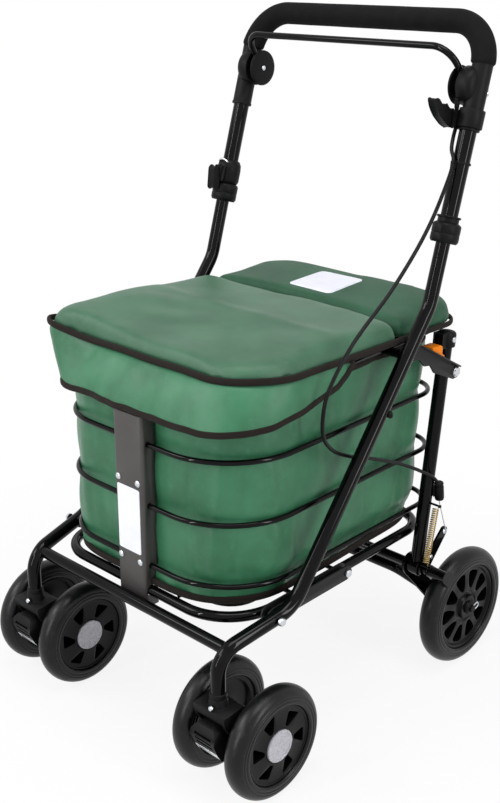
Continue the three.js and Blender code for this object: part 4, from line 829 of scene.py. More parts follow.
knobs = {
    "stud": (200, 14, 431), "studAxis": (0.72, 0.68, 0.16),
    "studProfile": [(0, -4), (3.0, -4), (3.0, 8), (4.4, 9), (5.0, 11.5), (4.2, 14), (2.2, 15.2), (0, 15.4)],
    "bolts": [(192.0, -32, 221, 5.2, 3.0), (209, -178, 217.5, 5.6, 4.0)],   # place, radius, height
}


def addStuds(s):
    for word, side in bothSides:
        mirror = np.array([side, 1, 1])
        stud = revolve("stud", s["studProfile"], mirror * s["stud"], mirror * s["studAxis"], 28)
        addBlack("rodStud_" + word, stud, "frame")
        for n, (x, y, z, radius, tall) in enumerate(s["bolts"], 1):
            boltHead("footBolt_%s_%d" % (word, n), (side * x, y, z), (side, 0, 0), radius, "frame", tall)


addStuds(knobs)
print("steel frame done")


lid = {
    "half": 181, "front": -202, "rear": 76.5, "corner": 82, "left": 30, "cornerRear": 12,
    "low": 511, "edge": 519, "top": 540, "round": 18, "voxel": 5.0, "pressure": 1.6, "cap": 2.2,
    "creaseY": -43, "crease": 2.4, "drag": 1.3, "uneven": 1.0,
    "fallFront": (8.0, 40, 195), "fallRight": (2.5, 60, 175),   # height, and from where to where it falls
    "cornerShift": (-17, -14, 11),   # where the cover's left front corner is drawn to
    "cornerX": (100, 182), "cornerY": (125, 202),   # and how far from the middle, to the left and the front
    "liftX": (10, 160), "liftY": (-40, 130), "liftZ": (515, 534),   # the padding that lifts with it
}


rearPad = {
    "half": 178.5, "front": 79, "rear": 215, "corner": 9, "left": 9, "cornerRear": 42,
    "low": 511, "edge": 520, "top": 540, "round": 20, "voxel": 5.0, "pressure": 1.4, "cap": 1.8,
    "climbRear": (5.0, 90, 190), "fallSides": (4.0, 90, 175), "uneven": 0.9,
}


def lidWarp(p):
    # the soft lid lies skew: its left front corner reaches outwards and lifts, and lifts the padding near it
    w = smooth(-p[..., 0], *lid["cornerX"]) * smooth(-p[..., 1], *lid["cornerY"])
    broad = smooth(-p[..., 0], *lid["liftX"]) * smooth(-p[..., 1], *lid["liftY"])
    broad = broad * smooth(p[..., 2], *lid["liftZ"])
    dx, dy, dz = lid["cornerShift"]
    return p + np.stack([w * dx, w * dy, np.maximum(w, broad) * dz], -1)


def lidTop(x, y):
    # added to the crown: a soft ridge across the seat, a slow fall to the front and the right, slanting drags
    fall = climb(-y, *lid["fallFront"]) + climb(x, *lid["fallRight"])
    ridge = lid["crease"] * np.exp(-((y - lid["creaseY"] - 0.03 * x) / 8) ** 2)
    ridge = ridge * smooth(172 - np.abs(x), 0, 40)
    drag = lid["drag"] * np.sin((x * 0.55 - y * 0.84) / 9.0 + 0.4 * ripple(x / 50, y / 50, 15))
    drag = drag * np.exp(-((x + 70) / 62) ** 2 - ((y + 105) / 40) ** 2)
    return ridge - fall + drag + lid["uneven"] * ripple(x / 60, y / 60, 5)


def rearTop(x, y):
    # added to the crown: higher to the rear, lower at both sides
    shape = climb(y, *rearPad["climbRear"]) - climb(np.abs(x), *rearPad["fallSides"])
    return shape + rearPad["uneven"] * ripple(x / 60, y / 60, 8)


def padShell(s, top):
    # Closed pad of rings drawn in from the outline:
    # height = edge + (top - edge + crown) * sqrt(1 - (1 - depth)^2), depth 0 at the edge and 1 past the round.
    outline = evenly(loopOf(s), 220)
    middle = np.array([0, (s["front"] + s["rear"]) / 2, 0])
    rows = []
    for inward, height in ((0.6, 0.0), (0.0, 0.0), (0.0, 0.35), (0.0, 0.7), (0.012, 1.0)):   # under, then wall
        ring = middle + (outline - middle) * (1 - inward)
        ring[:, 2] = s["low"] + height * (s["edge"] - s["low"])
        rows.append(ring)
    for t in np.linspace(0.03, 0.985, 34):
        ring = middle + (outline - middle) * (1 - t)
        depth = np.clip(t * s["half"] / s["round"], 0, 1)
        bulge = np.sqrt(1 - (1 - depth) ** 2)
        ring[:, 2] = s["edge"] + (s["top"] - s["edge"] + top(ring[:, 0], ring[:, 1])) * bulge
        rows.append(ring)
    return np.stack(rows)


cover = {
    "quality": 4, "stiffness": 12, "bending": 0.6, "frames": 20,
    "underShare": 0.15,   # how much of the swelling the underside keeps, because it lies on its board
    "evenFactor": 0.5, "evenRounds": 9,
}


def swell(obj, s):
    # Runs the mesh as cloth under pressure and moves its points, none further than the cap.
    scene = bpy.context.scene
    count = len(obj.data.vertices)
    rest, moved = np.zeros(count * 3), np.zeros(count * 3)
    obj.data.vertices.foreach_get("co", rest)
    rest = rest.reshape(-1, 3)
    cloth = obj.modifiers.new("cloth", "CLOTH")
    cloth.settings.use_pressure = True
    cloth.settings.uniform_pressure_force = s["pressure"]
    cloth.settings.effector_weights.gravity = 0
    cloth.settings.quality = cover["quality"]
    cloth.settings.tension_stiffness = cloth.settings.compression_stiffness = cover["stiffness"]
    cloth.settings.bending_stiffness = cover["bending"]
    cloth.point_cache.frame_start, cloth.point_cache.frame_end = 1, cover["frames"]
    for n in range(1, cover["frames"] + 1):
        scene.frame_set(n)
    graph = bpy.context.evaluated_depsgraph_get()
    swollen = obj.evaluated_get(graph).to_mesh()
    swollen.vertices.foreach_get("co", moved)
    obj.evaluated_get(graph).to_mesh_clear()
    obj.modifiers.clear()
    scene.frame_set(1)
    shift = moved.reshape(-1, 3) - rest
    far = np.linalg.norm(shift, axis=1, keepdims=True)
    shift *= np.minimum(1, s["cap"] * metre / np.maximum(far, 1e-9))
    above = smooth(rest[:, 2] / metre, s["low"] + 1, s["edge"])[:, None]
    kept = cover["underShare"] + (1 - cover["underShare"]) * above
    obj.data.vertices.foreach_set("co", (rest + shift * kept).ravel())


def puffUp(obj, s):
    # A closed pad made even, swollen, then smoothed and divided.
    m = obj.modifiers.new("voxels", "REMESH")
    m.mode, m.voxel_size = "VOXEL", s["voxel"] * metre
    settle(obj)
    swell(obj, s)
    m = obj.modifiers.new("even", "SMOOTH")
    m.factor, m.iterations = cover["evenFactor"], cover["evenRounds"]
    m = obj.modifiers.new("finer", "SUBSURF")
    m.levels = m.render_levels = 1
    settle(obj)
    obj.data.shade_smooth()


def addPads():
    # each pad takes a copy of the green vinyl whose colour holds painted shade
    for name, s, top, finish, body, node, warp in (
            ("lidPad", lid, lidTop, "vinylTopPaintedShade", "lid", "lid_cushion", lidWarp),
            ("rearPad", rearPad, rearTop, "vinylRearPaintedShade", "frame", "rear_cushion", lambda p: p)):
        obj = bpy.data.objects.new(name, gridMesh(name, warp(padShell(s, top))))
        bpy.context.scene.collection.objects.link(obj)
        puffUp(obj, s)
        obj.data.materials.append(paint[finish])
        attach(obj, body)
        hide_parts(node)
        print(name, "faces", len(obj.data.polygons))
    for node, body in (("lid_board", "lid"), ("rear_board", "frame")):
        addPiece(node + "_sheet", refined(node, 0.5), "board", body, [node])


addPads()


def power(v, exponent):
    # a power that keeps the sign
    return np.sign(v) * np.abs(v) ** exponent


def tapeSection(wide, thick):
    # A flat oval that is a little fuller than an ellipse.
    a = np.linspace(0, 2 * np.pi, 16, endpoint=False)
    c, s = np.cos(a), np.sin(a)
    return np.stack([thick / 2 * power(c, 0.8), wide / 2 * power(s, 0.8)], 1)


piping = {
    "lid": {"wide": 8.8, "thick": 5.0, "out": 1.8, "z": 514.3, "uneven": 0.5},
    "rear": {"wide": 7.5, "thick": 4.4, "out": 1, "z": 513},
}


def openLoop(loop, test):
    # The part of a closed outline that passes the test, from one end of it to the other.
    keep = test(loop)
    start = int(np.argmax(keep & ~np.roll(keep, 1)))
    return np.roll(loop, -start, 0)[:int(keep.sum())]


def bandAlong(name, line, wide, thick, closed=False):
    # a bound tape that lies flat along a line
    return gridMesh(name, sweep(line, tapeSection(wide, thick), (0, 0, 1), closed), closeU=closed)


def addPiping(s):
    b = s["lid"]
    half, left, right = (lid[key] + b["out"] for key in ("half", "left", "corner"))
    loop = roundedLoop(half, half, lid["front"] - b["out"], lid["rear"], right, 4, b["z"], left=left)
    line = openLoop(loop, lambda p: p[:, 1] < lid["rear"] - 1)
    line = lidWarp(evenly(line, 300, False))
    line[:, 2] += b["uneven"] * ripple(line[:, 0] / 40, line[:, 1] / 40, 3)
    addTape("lidPiping", bandAlong("lidPiping", line, b["wide"], b["thick"]), "lid")
    b = s["rear"]
    half, rear, corner = (rearPad[key] + b["out"] for key in ("half", "rear", "cornerRear"))
    loop = roundedLoop(half, half, rearPad["front"], rear, rearPad["corner"], corner, b["z"])
    line = openLoop(loop, lambda p: p[:, 1] > rearPad["front"] + 3)
    addTape("rearPiping", bandAlong("rearPiping", evenly(line, 240, False), b["wide"], b["thick"]), "frame")


addPiping(piping)

skirt = {
    "top": 511.5, "endY": -20, "right": 188, "left": 165, "front": -237, "cornerRight": 95, "cornerLeft": 56,
    "hemY": (-237, -190, -150, -105, -81, -57, -40, -31, -20),   # the hem's height is read off these two
    "hemZ": (456, 459, 466, 474, 480, 486, 497, 507, 513),
    "thick": 1.4, "hem": 8.6, "hemThick": 3.4, "underPiping": 1.2,
    "fold": 1.1, "pucker": 0.8, "bow": 2.6, "wave": 0.9, "divisions": (320, 30),
}


def runAlong(line):
    # Length from the first point on, and the distance to the nearer end.
    run = np.concatenate([[0], np.cumsum(np.linalg.norm(np.diff(line, axis=0), axis=1))])
    return run, np.minimum(run, run[-1] - run)


def skirtGrid(s, inset=0.0):
    # From the piping (t = 0) to the hem (t = 1): height runs as t, and the way outwards as t^0.8 where the
    # cloth flares and as t^1.7 where it hangs in.
    count, rows = s["divisions"]

    def frontPart(half, front, corner, left, z):
        edge = roundedLoop(half, half, front, 90, corner, 2, z, 24, 30, left)
        return evenly(openLoop(edge, lambda p: p[:, 1] < s["endY"]), count, False)

    top = lidWarp(frontPart(lid["half"], lid["front"], lid["corner"], lid["left"], s["top"]))
    hem = frontPart(s["right"], s["front"], s["cornerRight"], s["cornerLeft"], 0.0)
    narrowing = 1 - (1 - s["left"] / s["right"]) * smooth(-hem[:, 0], 60, 180)
    hem[:, 0] = np.where(hem[:, 0] < 0, hem[:, 0] * narrowing, hem[:, 0])
    hem[:, 2] = np.interp(hem[:, 1], s["hemY"], s["hemZ"])
    run, ends = runAlong(hem)
    hem[:, 2] += s["wave"] * ripple(run / 30, run * 0, 21) * smooth(ends, 10, 80)
    along = unit(np.gradient(hem, axis=0) * np.array([1, 1, 0]))
    out = np.stack([along[:, 1], -along[:, 0], np.zeros(count)], 1)
    t = np.linspace(0, 1, rows)[:, None]
    hangsIn = smooth(-hem[:, 0], 60, 170)[None]
    share = t ** (0.8 + 0.9 * hangsIn)
    cloth = top[None] * (1 - share[..., None]) + hem[None] * share[..., None]
    cloth[..., 2] = top[None, :, 2] * (1 - t) + hem[None, :, 2] * t
    grown = smooth(ends, 10, 110)[None]
    run = run[None]
    fold = s["fold"] * (ripple(run / 42, t * 1.1, 31) + 0.5 * ripple(run / 17, t * 1.8, 32)) * t ** 0.7
    pucker = s["pucker"] * ripple(run / 14, t * 2.5, 33, 9) * np.exp(-((t - 0.16) / 0.16) ** 2)
    bow = s["bow"] * np.sin(np.pi * t) * (0.4 + 0.6 * smooth(-hem[:, 1], 60, 200)[None])
    cloth += out[None] * ((fold + pucker + bow) * grown - inset)[..., None]
    cloth[..., :2] -= out[None, :, :2] * (s["underPiping"] * (1 - smooth(t, 0, 0.1)))[..., None]
    return cloth, float(run[0, -1])


def addSkirt(s):
    outer, length = skirtGrid(s)
    inner = skirtGrid(s, inset=s["thick"])[0]
    mesh = gridMesh("lidSkirt", np.concatenate([outer, inner[::-1]]), closeU=True, closeV=False)
    obj = addPiece("lidSkirt", mesh, "vinyl", "lid", ["lid_skirt"], 70)
    hem = evenly(outer[-1] * 0.5 + inner[-1] * 0.5, 280, False)
    band = addTape("skirtHem", bandAlong("skirtHem", hem, s["hem"], s["hemThick"]), "lid")
    area = float(sum(p.area for p in obj.data.polygons)) / 2
    length * metre
    area / (length * metre)
    print("skirt", round(length), "x", round(area / (length * metre) * 1000), "mm flat")


addSkirt(skirt)

patch = {
    "x": -5, "y": 140, "half": 39, "halfY": 38, "corner": 8, "lift": 0.8,
    "edge": ((1.0, -0.6), (1.0, 0.45), (0.985, 0.8)),   # outline scale and lift, from the buried edge up
    "stitch": {"inset": 0.93, "count": 72, "radius": 0.35, "lift": 0.25, "arch": 0.15},
}


def layOn(points, target, lift):
    # Drops each point from above on the target's surface and lifts it a little.
    above, missed = 0.7, 530.0
    bpy.context.view_layer.update()
    hits = [target.ray_cast(Vector((p[0] * metre, p[1] * metre, above)), Vector((0, 0, -1))) for p in points]
    z = np.array([h[1][2] / metre if h[0] else missed for h in hits])
    return np.column_stack([points[:, :2], z + lift])


def addPatch(s):
    pad, at = bpy.data.objects["rearPad"], np.array([s["x"], s["y"], 0])
    outline = evenly(roundedLoop(s["half"], s["half"], -s["halfY"], s["halfY"], s["corner"], s["corner"]), 96)
    layers = list(s["edge"]) + [(k, s["lift"]) for k in np.linspace(0.9, 0.02, 12)]
    rows = [layOn(outline * k + at, pad, lift) for k, lift in layers]
    addPiece("seatPatch", gridMesh("seatPatch", np.stack(rows)), "patch", "frame", sharp=60)
    g = s["stitch"]
    line = layOn(evenly(outline * g["inset"] + at, g["count"]), pad, s["lift"] + g["lift"])
    arch = np.array([0, 0, g["arch"]])
    threads = [np.stack([p, (p + q) / 2 + arch, q]) for p, q in zip(line[::2], line[1::2])]
    parts = [gridMesh("stitch", sweep(thread, circle(g["radius"], 6), (0, 0, 1))) for thread in threads]
    addPiece("patchStitch", joinMeshes("patchStitch", parts), "patch", "frame")


addPatch(patch)
print("seat done")


bag = {
    "half": 166, "halfRear": 150, "front": -215, "rear": 186.5, "corner": 94, "left": 58, "cornerRear": 44,
    "low": 218.5, "high": 490, "around": 1450, "wall": 2.0, "bulge": 4.0, "draw": 13, "fold": 1.5,
    "postDent": 5.0, "crumple": 0.5, "floorMiddle": (0, -16, 0), "divisions": (400, 90),
    "tuckHigh": 52, "tuck": (11.5, -6, 6),   # the foot is drawn in at the sides, the front and the rear
    "tape": {"wide": 10, "thick": 4.0, "up": 5.0, "rounds": 30, "out": 2.4, "proud": 1.2},
    "rim": {"wide": 8, "thick": 4.0},
    # place as a share of the way round from the left front corner, height, half width
    "creases": ((0.242, 3.4, 7), (0.262, -3.0, 6), (0.292, 2.6, 8), (0.215, -2.2, 7), (0.16, 1.8, 9)),
}


def bagGrid(s, inset=0.0):
    # A tub whose outline goes out between the rods by bulge * sin^0.8 of the way between them, is drawn in at
    # its foot, its top and the front post, and has upright creases round the right front corner.
    count, rows = s["divisions"]
    z = np.linspace(s["low"], s["high"], rows)[:, None]
    base = evenly(loopOf(s), count)
    along = unit(np.roll(base, -1, 0) - np.roll(base, 1, 0))
    out = np.stack([along[:, 1], -along[:, 0], np.zeros(count)], 1)
    x, y = base[None, :, 0], base[None, :, 1]
    run = np.linspace(0, 1, count, endpoint=False)[None] * s["around"]
    rods = mainFrame["rings"]["levels"]
    levels = np.array([s["low"], *rods[::-1], s["high"] + 30])
    span = np.clip(np.searchsorted(levels, z, side="right") - 1, 0, 3)
    between = (z - levels[span]) / (levels[span + 1] - levels[span])
    swelling = s["bulge"] * np.sin(np.pi * between) ** 0.8
    swelling = swelling * (levels[span + 1] - levels[span]) / (rods[0] - rods[1])
    lean = unit(out[None, :, :2])
    sides, front, rear = s["tuck"]
    tuck = sides * np.abs(lean[..., 0])
    tuck = tuck + front * np.clip(-lean[..., 1], 0, 1) + rear * np.clip(lean[..., 1], 0, 1)
    tuck = tuck * (1 - smooth(z, s["low"], s["low"] + s["tuckHigh"]))
    nearPost = s["postDent"] * np.exp(-(x / 34) ** 2) * smooth(-y, 120, 200)
    folds = s["fold"] * (ripple(run / 30, z / 190, 41) + 0.35 * ripple(run / 12, z / 80, 42))
    for place, height, wide in s["creases"]:
        drift = place * s["around"] + 5 * np.sin(z / 38 + place * 40)
        fades = smooth(z, 225, 262) * smooth(-z, -450, -395)
        folds = folds + height * np.exp(-((run - drift) / wide) ** 2) * fades
    crumple = s["crumple"] * ripple(run / 34, z / 30, 43, 9)
    crumple = crumple + s["crumple"] * ripple(run / 12, z / 10, 44, 9) * smooth(-z, -262, -226)
    drawn = s["draw"] * smooth(z, 425, s["high"]) * smooth(-y, 60, 190)
    rub = np.exp(-((between - np.round(between)) * 9) ** 2)
    reach = swelling - tuck - drawn - nearPost + (folds + crumple) * (1 - 0.7 * rub) - inset
    tub = base[None] + out[None] * reach[..., None]
    tub[..., 2] = z
    return tub


def flatAt(ring, scale, height):
    # A ring scaled about the middle of the bag's floor and laid level at a height.
    middle = np.array(bag["floorMiddle"])
    return middle + (ring - middle) * scale * np.array([1, 1, 0]) + np.array([0, 0, height])


def addBag(s):
    outer, inner = bagGrid(s), bagGrid(s, s["wall"])
    inner[..., 2] = np.clip(inner[..., 2], s["low"] + s["wall"], None)
    under = [flatAt(outer[0], k, s["low"]) for k in (0.02, 0.5, 0.96)]
    above = [flatAt(inner[0], k, s["low"] + s["wall"]) for k in (0.96, 0.5, 0.02)]
    mesh = gridMesh("bagShell", np.concatenate([under, outer, inner[::-1], above]))
    addPiece("bagShell", mesh, "vinyl", "frame", ["bag"], 75)
    g = s["tape"]
    base = outer[3] * np.array([1, 1, 0]) + np.array([0, 0, s["low"] + g["up"]])
    middle, reach = base.mean(0), np.linalg.norm(base - base.mean(0), axis=1).mean()
    for _ in range(g["rounds"]):   # evened out, then brought back to its size
        base = (np.roll(base, 2, 0) + base + np.roll(base, -2, 0)) / 3
    base = middle + (base - middle) * ((reach + g["out"]) / np.linalg.norm(base - middle, axis=1).mean())
    along = unit(np.roll(base, -1, 0) - np.roll(base, 1, 0))
    base = base + np.stack([along[:, 1], -along[:, 0], along[:, 2] * 0], 1) * g["proud"]
    addTape("bagTape", bandAlong("bagTape", base, g["wide"], g["thick"], True), "frame")
    rim = outer[-1] * 0.5 + inner[-1] * 0.5
    addTape("bagRim", bandAlong("bagRim", rim, s["rim"]["wide"], s["rim"]["thick"], True), "frame")


addBag(bag)
print("bag done")


handle = {
    "tube": 11.25, "tubeTop": 848, "collar": 18.5, "collarLow": 636, "collarHigh": 660, "inCollar": 4,
    "sleeve": 13.4, "sleeveLow": 772, "sleeveHigh": 856,
    "bar": 10.5, "barFrom": 849, "turnY": 204.5,
    "grip": 15.2, "gripTop": 901, "gripCorner": 51.5, "gripStart": 851,
    "leftShift": 4, "cornerLeft": 60,   # the left bend lies further in and is rounder
    "drum": {"radius": 24.8, "inner": 170, "y": 183.33, "z": 825, "bolt": 3.6, "boltTall": 2.0},
    "sleeveBolt": {"z": 817, "out": 13, "axis": (0.62, 0.78, 0), "radius": 4.4},
    "bail": {"radius": 4.5, "foot": 178, "front": 26, "rise": 48, "cornerRight": 33, "cornerLeft": 22},
}


def alongUpright(name, profile, fromZ, side, segments=48):
    # Profile heights run along the upright from a level, in mm of tube length.
    return revolve(name, profile, onUpright(fromZ), rise, segments, side)


def collarProfile(outer, tall):
    # a collar with a shallow groove round its middle and a lip that grips the tube above it
    return [(9.9, -0.2), (outer - 2.4, -0.2), (outer - 1.4, 0.6), (outer - 0.9, 1.6), (outer, 3),
            (outer, tall * 0.42), (outer - 0.5, tall * 0.46), (outer, tall * 0.5), (outer, tall - 3),
            (outer - 1, tall - 1), (outer - 2.6, tall), (15.4, tall + 0.3), (13.8, tall + 1.4),
            (13.8, tall + 6.2), (15.6, tall + 6.8), (15.8, tall + 8.2), (15.0, tall + 9.2),
            (11.5, tall + 9.3), (11.5, 8), (9.9, 8)]


def sleeveProfile(outer, tall):
    # a sleeve with a bead round its foot
    return [(11.4, 0), (outer + 0.2, 0), (outer + 0.9, 0.8), (outer + 0.9, 3.2), (outer + 0.1, 4.4),
            (outer, 20), (outer, tall - 2), (outer - 0.5, tall - 0.4), (outer - 1, tall), (11.3, tall)]


def drumProfiles(outer):
    # the hinge drum: a thin inner disc, a domed outer half and the hub in the groove between them
    disc = [(0, 0.8), (4.2, 0.8), (5.2, 0), (outer - 3.2, 0), (outer - 1.2, 0.6), (outer - 0.2, 1.6),
            (outer, 2.6), (outer - 0.4, 3.4), (outer - 5, 3.7), (0, 3.7)]
    dome = [(0, 12.4), (outer - 5, 12.4), (outer - 0.6, 12.6), (outer, 13.4), (outer, 24), (outer - 0.8, 28),
            (outer - 2.6, 31), (outer - 5.4, 33.4), (outer - 9.5, 35), (outer - 15, 35.8), (0, 36.2)]
    return disc, dome, [(0, 3), (14.5, 3), (14.5, 13), (0, 13)]


def addHandleSide(s, word, side):
    low, r = s["collarLow"] + s["inCollar"], s["tube"]
    length = (s["tubeTop"] - s["collarLow"] - s["inCollar"]) / rise[2]
    tube = alongUpright("handleTube", [(0, 0), (r - 0.6, 0), (r, 0.6), (r, length), (0, length)], low, side)
    addSteel("handleTube_" + word, tube, "handle", "handle_tube_" + word)
    profile = collarProfile(s["collar"], (s["collarHigh"] - s["collarLow"]) / rise[2])
    collar = alongUpright("collar", profile, s["collarLow"], side, 56)
    addBlack("heightCollar_" + word, collar, "handle", "height_collar_" + word)
    profile = sleeveProfile(s["sleeve"], (s["sleeveHigh"] - s["sleeveLow"]) / rise[2])
    d = s["drum"]
    at = (d["inner"], d["y"], d["z"])
    parts = [alongUpright("sleeve", profile, s["sleeveLow"], side, 56)]
    parts += [revolve("drum", p, at, (1, 0, 0), 72, side) for p in drumProfiles(d["radius"])]
    addBlack("handleJoint_" + word, joinMeshes("handleJoint", parts), "handle", "handle_joint_" + word)
    mirror = np.array([side, 1, 1])
    at = (side * (d["inner"] + 0.5), d["y"], d["z"])
    boltHead("drumBolt_" + word, at, (-side, 0, 0), d["bolt"], "handle", d["boltTall"])
    b = s["sleeveBolt"]
    axis = np.array(b["axis"])
    at = onUpright(b["z"]) + axis * b["out"]
    boltHead("sleeveBolt_" + word, mirror * at, mirror * axis, b["radius"], "handle")


def addHandle(s):
    for word, side in bothSides:
        addHandleSide(s, word, side)
    reach, foot = uprightFoot[0], s["barFrom"]
    stops = [onUpright(foot), (reach, s["turnY"], s["gripTop"], s["gripCorner"]),
             (s["leftShift"] - reach, s["turnY"], s["gripTop"], s["cornerLeft"]), onUpright(foot, -reach)]
    line, across = bentPath(stops, 26), (0, -rise[2], rise[1])
    bar = gridMesh("handleBar", sweep(line, circle(s["bar"], 28), across))
    addSteel("handleBar", bar, "handle", "handle_bar")
    line = evenly(line, 220, False)
    line = line[line[:, 2] > s["gripStart"]]
    run, ends = runAlong(line)   # the foam is rounded at its ends, fuller next to them and a little uneven
    full = 1 - 0.16 * (1 - np.sqrt(np.clip(ends / 3.0, 0, 1))) + 0.008 * ripple(run / 40, run * 0, 12)
    full = full + 0.05 * smooth(ends, 90, 0)
    foam = gridMesh("foamGrip", sweep(line, circle(s["grip"], 36), across, scale=full))
    obj = addPiece("foamGrip", foam, "foam", "handle", ["foam_grip"])


addHandle(handle)


def addBail(s):
    # The rod leaves each drum's groove, rises forward and crosses under the grip.
    d, b = s["drum"], s["bail"]
    y, z = d["y"], d["z"]
    stops = [(b["foot"], y, z), (b["foot"], y - b["front"], z + b["rise"], b["cornerRight"]),
             (-b["foot"], y - b["front"], z + b["rise"], b["cornerLeft"]), (-b["foot"], y, z)]
    normal = unit(np.array([0, -b["rise"], -b["front"]], float))
    line = bentPath(stops, 20)
    bail = gridMesh("brakeBail", sweep(line, circle(b["radius"], 20), normal))
    addSteel("brakeBail", bail, "brake_handle", "brake_bail")


addBail(handle)

hook = {
    "rear": 158, "low": 775, "size": 40, "from": 172, "to": 184,
    # the blade's outline as shares of its size: y, below 0 to the front, and z
    "shares": [(0, 0), (0, 0.6), (-0.125, 0.6), (-0.25, 0.625), (-0.34, 0.725), (-0.41, 0.805), (-0.475, 0.75),
               (-0.55, 0.7125), (-0.64, 0.775), (-0.725, 0.875), (-0.8, 0.95), (-0.9125, 0.99), (-1, 0.975),
               (-0.975, 0.8875), (-0.925, 0.75), (-0.8125, 0.575), (-0.675, 0.4125), (-0.525, 0.2875),
               (-0.35, 0.15), (-0.2, 0.065)],
    "root": [(153, 776), (163, 776), (163, 797), (153, 797)], "rootTo": 190,
    "clip": [(13.7, 0), (16.2, 0), (16.6, 0.8), (16.6, 22), (16.2, 23), (13.7, 23)], "clipLow": 775.5,
    "adjuster": ((184, 163, 812), (184, 163.9, 777)),
    "adjusterProfile": [(0, 0), (2.4, 0), (2.4, 4), (3.2, 4.6), (3.2, 12), (2.7, 12.6), (2.7, 22), (3.2, 22.8),
                        (3.2, 30), (2.8, 31), (2.7, 35), (0, 35)],
}


def addHook(s):
    # the blade's outline is rounded by averaging; a root joins it to the clip round the sleeve
    shares = evenly(np.array(s["shares"]) * s["size"] + np.array([s["rear"], s["low"]]), 110)
    for _ in range(3):
        shares = (np.roll(shares, 1, 0) + shares * 2 + np.roll(shares, -1, 0)) / 4
    blade = prism("hookBlade", shares, s["from"], s["to"], 1.0)
    clip = alongUpright("clip", s["clip"], s["clipLow"], 1, 56)
    root = prism("hookRoot", s["root"], s["from"] + 1, s["rootTo"], 1.0)
    addBlack("stickHook", joinMeshes("stickHook", [blade, clip, root]), "handle", "stick_hook")
    top, low = (np.array(p, float) for p in s["adjuster"])
    adjuster = revolve("adjuster", s["adjusterProfile"], top, low - top, 24)
    addBlack("cableAdjuster", adjuster, "handle", "cable_adjuster")


addHook(hook)

clamp = {
    "low": 660.5, "high": 693, "radius": 17.5, "shell": 20.2,
    "earHigh": 16, "ears": ((-207, -201.2), (-198.8, -193)),
    "pivot": (111.07, 684.15), "end": (108.07, 661.15), "arm": (194, 206),
    "leverZ": 676, "leverTurn": (-0.5, 2.1), "leverHigh": 11.5, "leverThick": 2.0,
    "wire": {"z": 694, "radius": 1.5, "half": 9.5, "high": 7.5, "turn": 1.15},
}


def addClamp(s):
    # A band with two ears in front. The cam lever is a flat oval section turned round the tube, whose height
    # narrows to its tip.
    low, tall = s["low"], (s["high"] - s["low"]) / rise[2]
    r = s["radius"]
    profile = [(11.6, 0), (r - 3, 0), (r - 1, 1.5), (r, 5), (r, tall * 0.6), (r - 0.8, tall - 6),
               (r - 3, tall - 1.5), (r - 4.5, tall), (11.6, tall)]
    addBlack("clampBand", alongUpright("clampShell", profile, low, -1, 72), "handle")
    y, z = s["pivot"]
    half = s["earHigh"] / 2
    outline = [(y + 4.6, z - half - 2), (y + 14, z - half), (y + 14, z + half - 4), (y + 4.6, z + half - 6)]
    ears = [prism("ear", outline, start, end, 1.0) for start, end in s["ears"]]
    addBlack("clampEars", joinMeshes("clampEars", ears), "handle")
    a = np.linspace(*s["leverTurn"], 40)[:, None]   # turned from the front towards the outer side
    t = np.linspace(0, 2 * np.pi, 28, endpoint=False)[None]
    centre = onUpright(s["leverZ"])
    thin = 1 - 0.55 * smooth(a, 0.6, s["leverTurn"][1])
    radius = s["shell"] + s["leverThick"] * np.cos(t) * np.ones_like(a)
    up = s["leverHigh"] * thin * power(np.sin(t), 0.6) + 1.5 * np.cos(a * 0.8)
    shell = np.stack([-centre[0] - radius * np.sin(a), centre[1] - radius * np.cos(a) + up * rise[1],
                      centre[2] + up * rise[2]], 2)
    arm = prism("clampArm", link(y, z, 5, *s["end"], 4.5), *s["arm"], 1.6, -1)
    lever = joinMeshes("clampLever", [gridMesh("clampLeverShell", shell), arm])
    addBlack("clampLever", lever, "clamp", "clamp_lever")
    w = s["wire"]
    arc = np.linspace(-w["turn"], w["turn"], 24)
    at = onUpright(w["z"])
    wire = np.stack([-at[0] + w["half"] * np.sin(arc), at[1] - 14 - 2.5 * np.cos(arc),
                     at[2] - 4 + w["high"] * np.cos(arc)], 1)
    wire = gridMesh("clampWire", sweep(wire, circle(w["radius"], 12), (0, 1, 0)))
    addPiece("clampWire", wire, "zinc", "handle")


addClamp(clamp)

tie = {
    "z": 733, "profile": [(11.4, -1.6), (12.6, -1.5), (12.9, 0), (12.6, 1.5), (11.4, 1.6)],
    "head": [(-17, -4), (-10, -3), (-10, 4), (-16, 4)],   # y and z from the upright's middle
    "headX": (196, 202),
}


def addTies(s):
    at = onUpright(s["z"])
    addBlack("tubeTie", alongUpright("tie", s["profile"], s["z"], 1, 40), "handle")
    addBlack("tieHead", prism("tieHead", np.array(s["head"]) + at[1:], *s["headX"], 0.8), "handle")


addTies(tie)
print("handle done")


rearFrame = {
    "leg": 9.5, "x": 176, "foldBolt": (187, 446), "lugX": (170, 182), "cross": (163, 130), "crossHalf": 125,
    "crossEnd": (196, 95), "crossCorner": 26, "crossRadius": 8, "springPin": 258,
    "bush": [(7.7, -9), (11.6, -9.2), (12.6, -8.2), (12.6, 8.2), (11.6, 9.2), (7.7, 9)],
    "pin": [(0, 0), (1.6, 0), (1.6, 25), (2.4, 25.5), (2.4, 27), (0, 27)],
    "cap": [(9.7, -20), (12.4, -20), (12.9, -19), (12.9, -3), (12.2, -0.6), (10, 1.4), (6, 2.4), (0, 2.8),
            (0, 0.2), (9.7, 0.2)],
    "capBlock": [(163, 483), (176, 482), (176, 501), (164, 501)], "capBlockX": (168, 184),
    "plate": 4, "plateRadii": (16, 13), "spacerTo": 195, "axleTo": 234,
    "bolts": {   # place, radius, body, height
        "capBolt": ((188.6, 181, 492), 3.8, "rear_frame", 2.4),
        "foldBolt": ((190.6, 187, 446), 7.2, "frame", 4.2),
        "axleTip": ((229, *rearAxle), 5.4, "rear_frame", 4),
    },
}


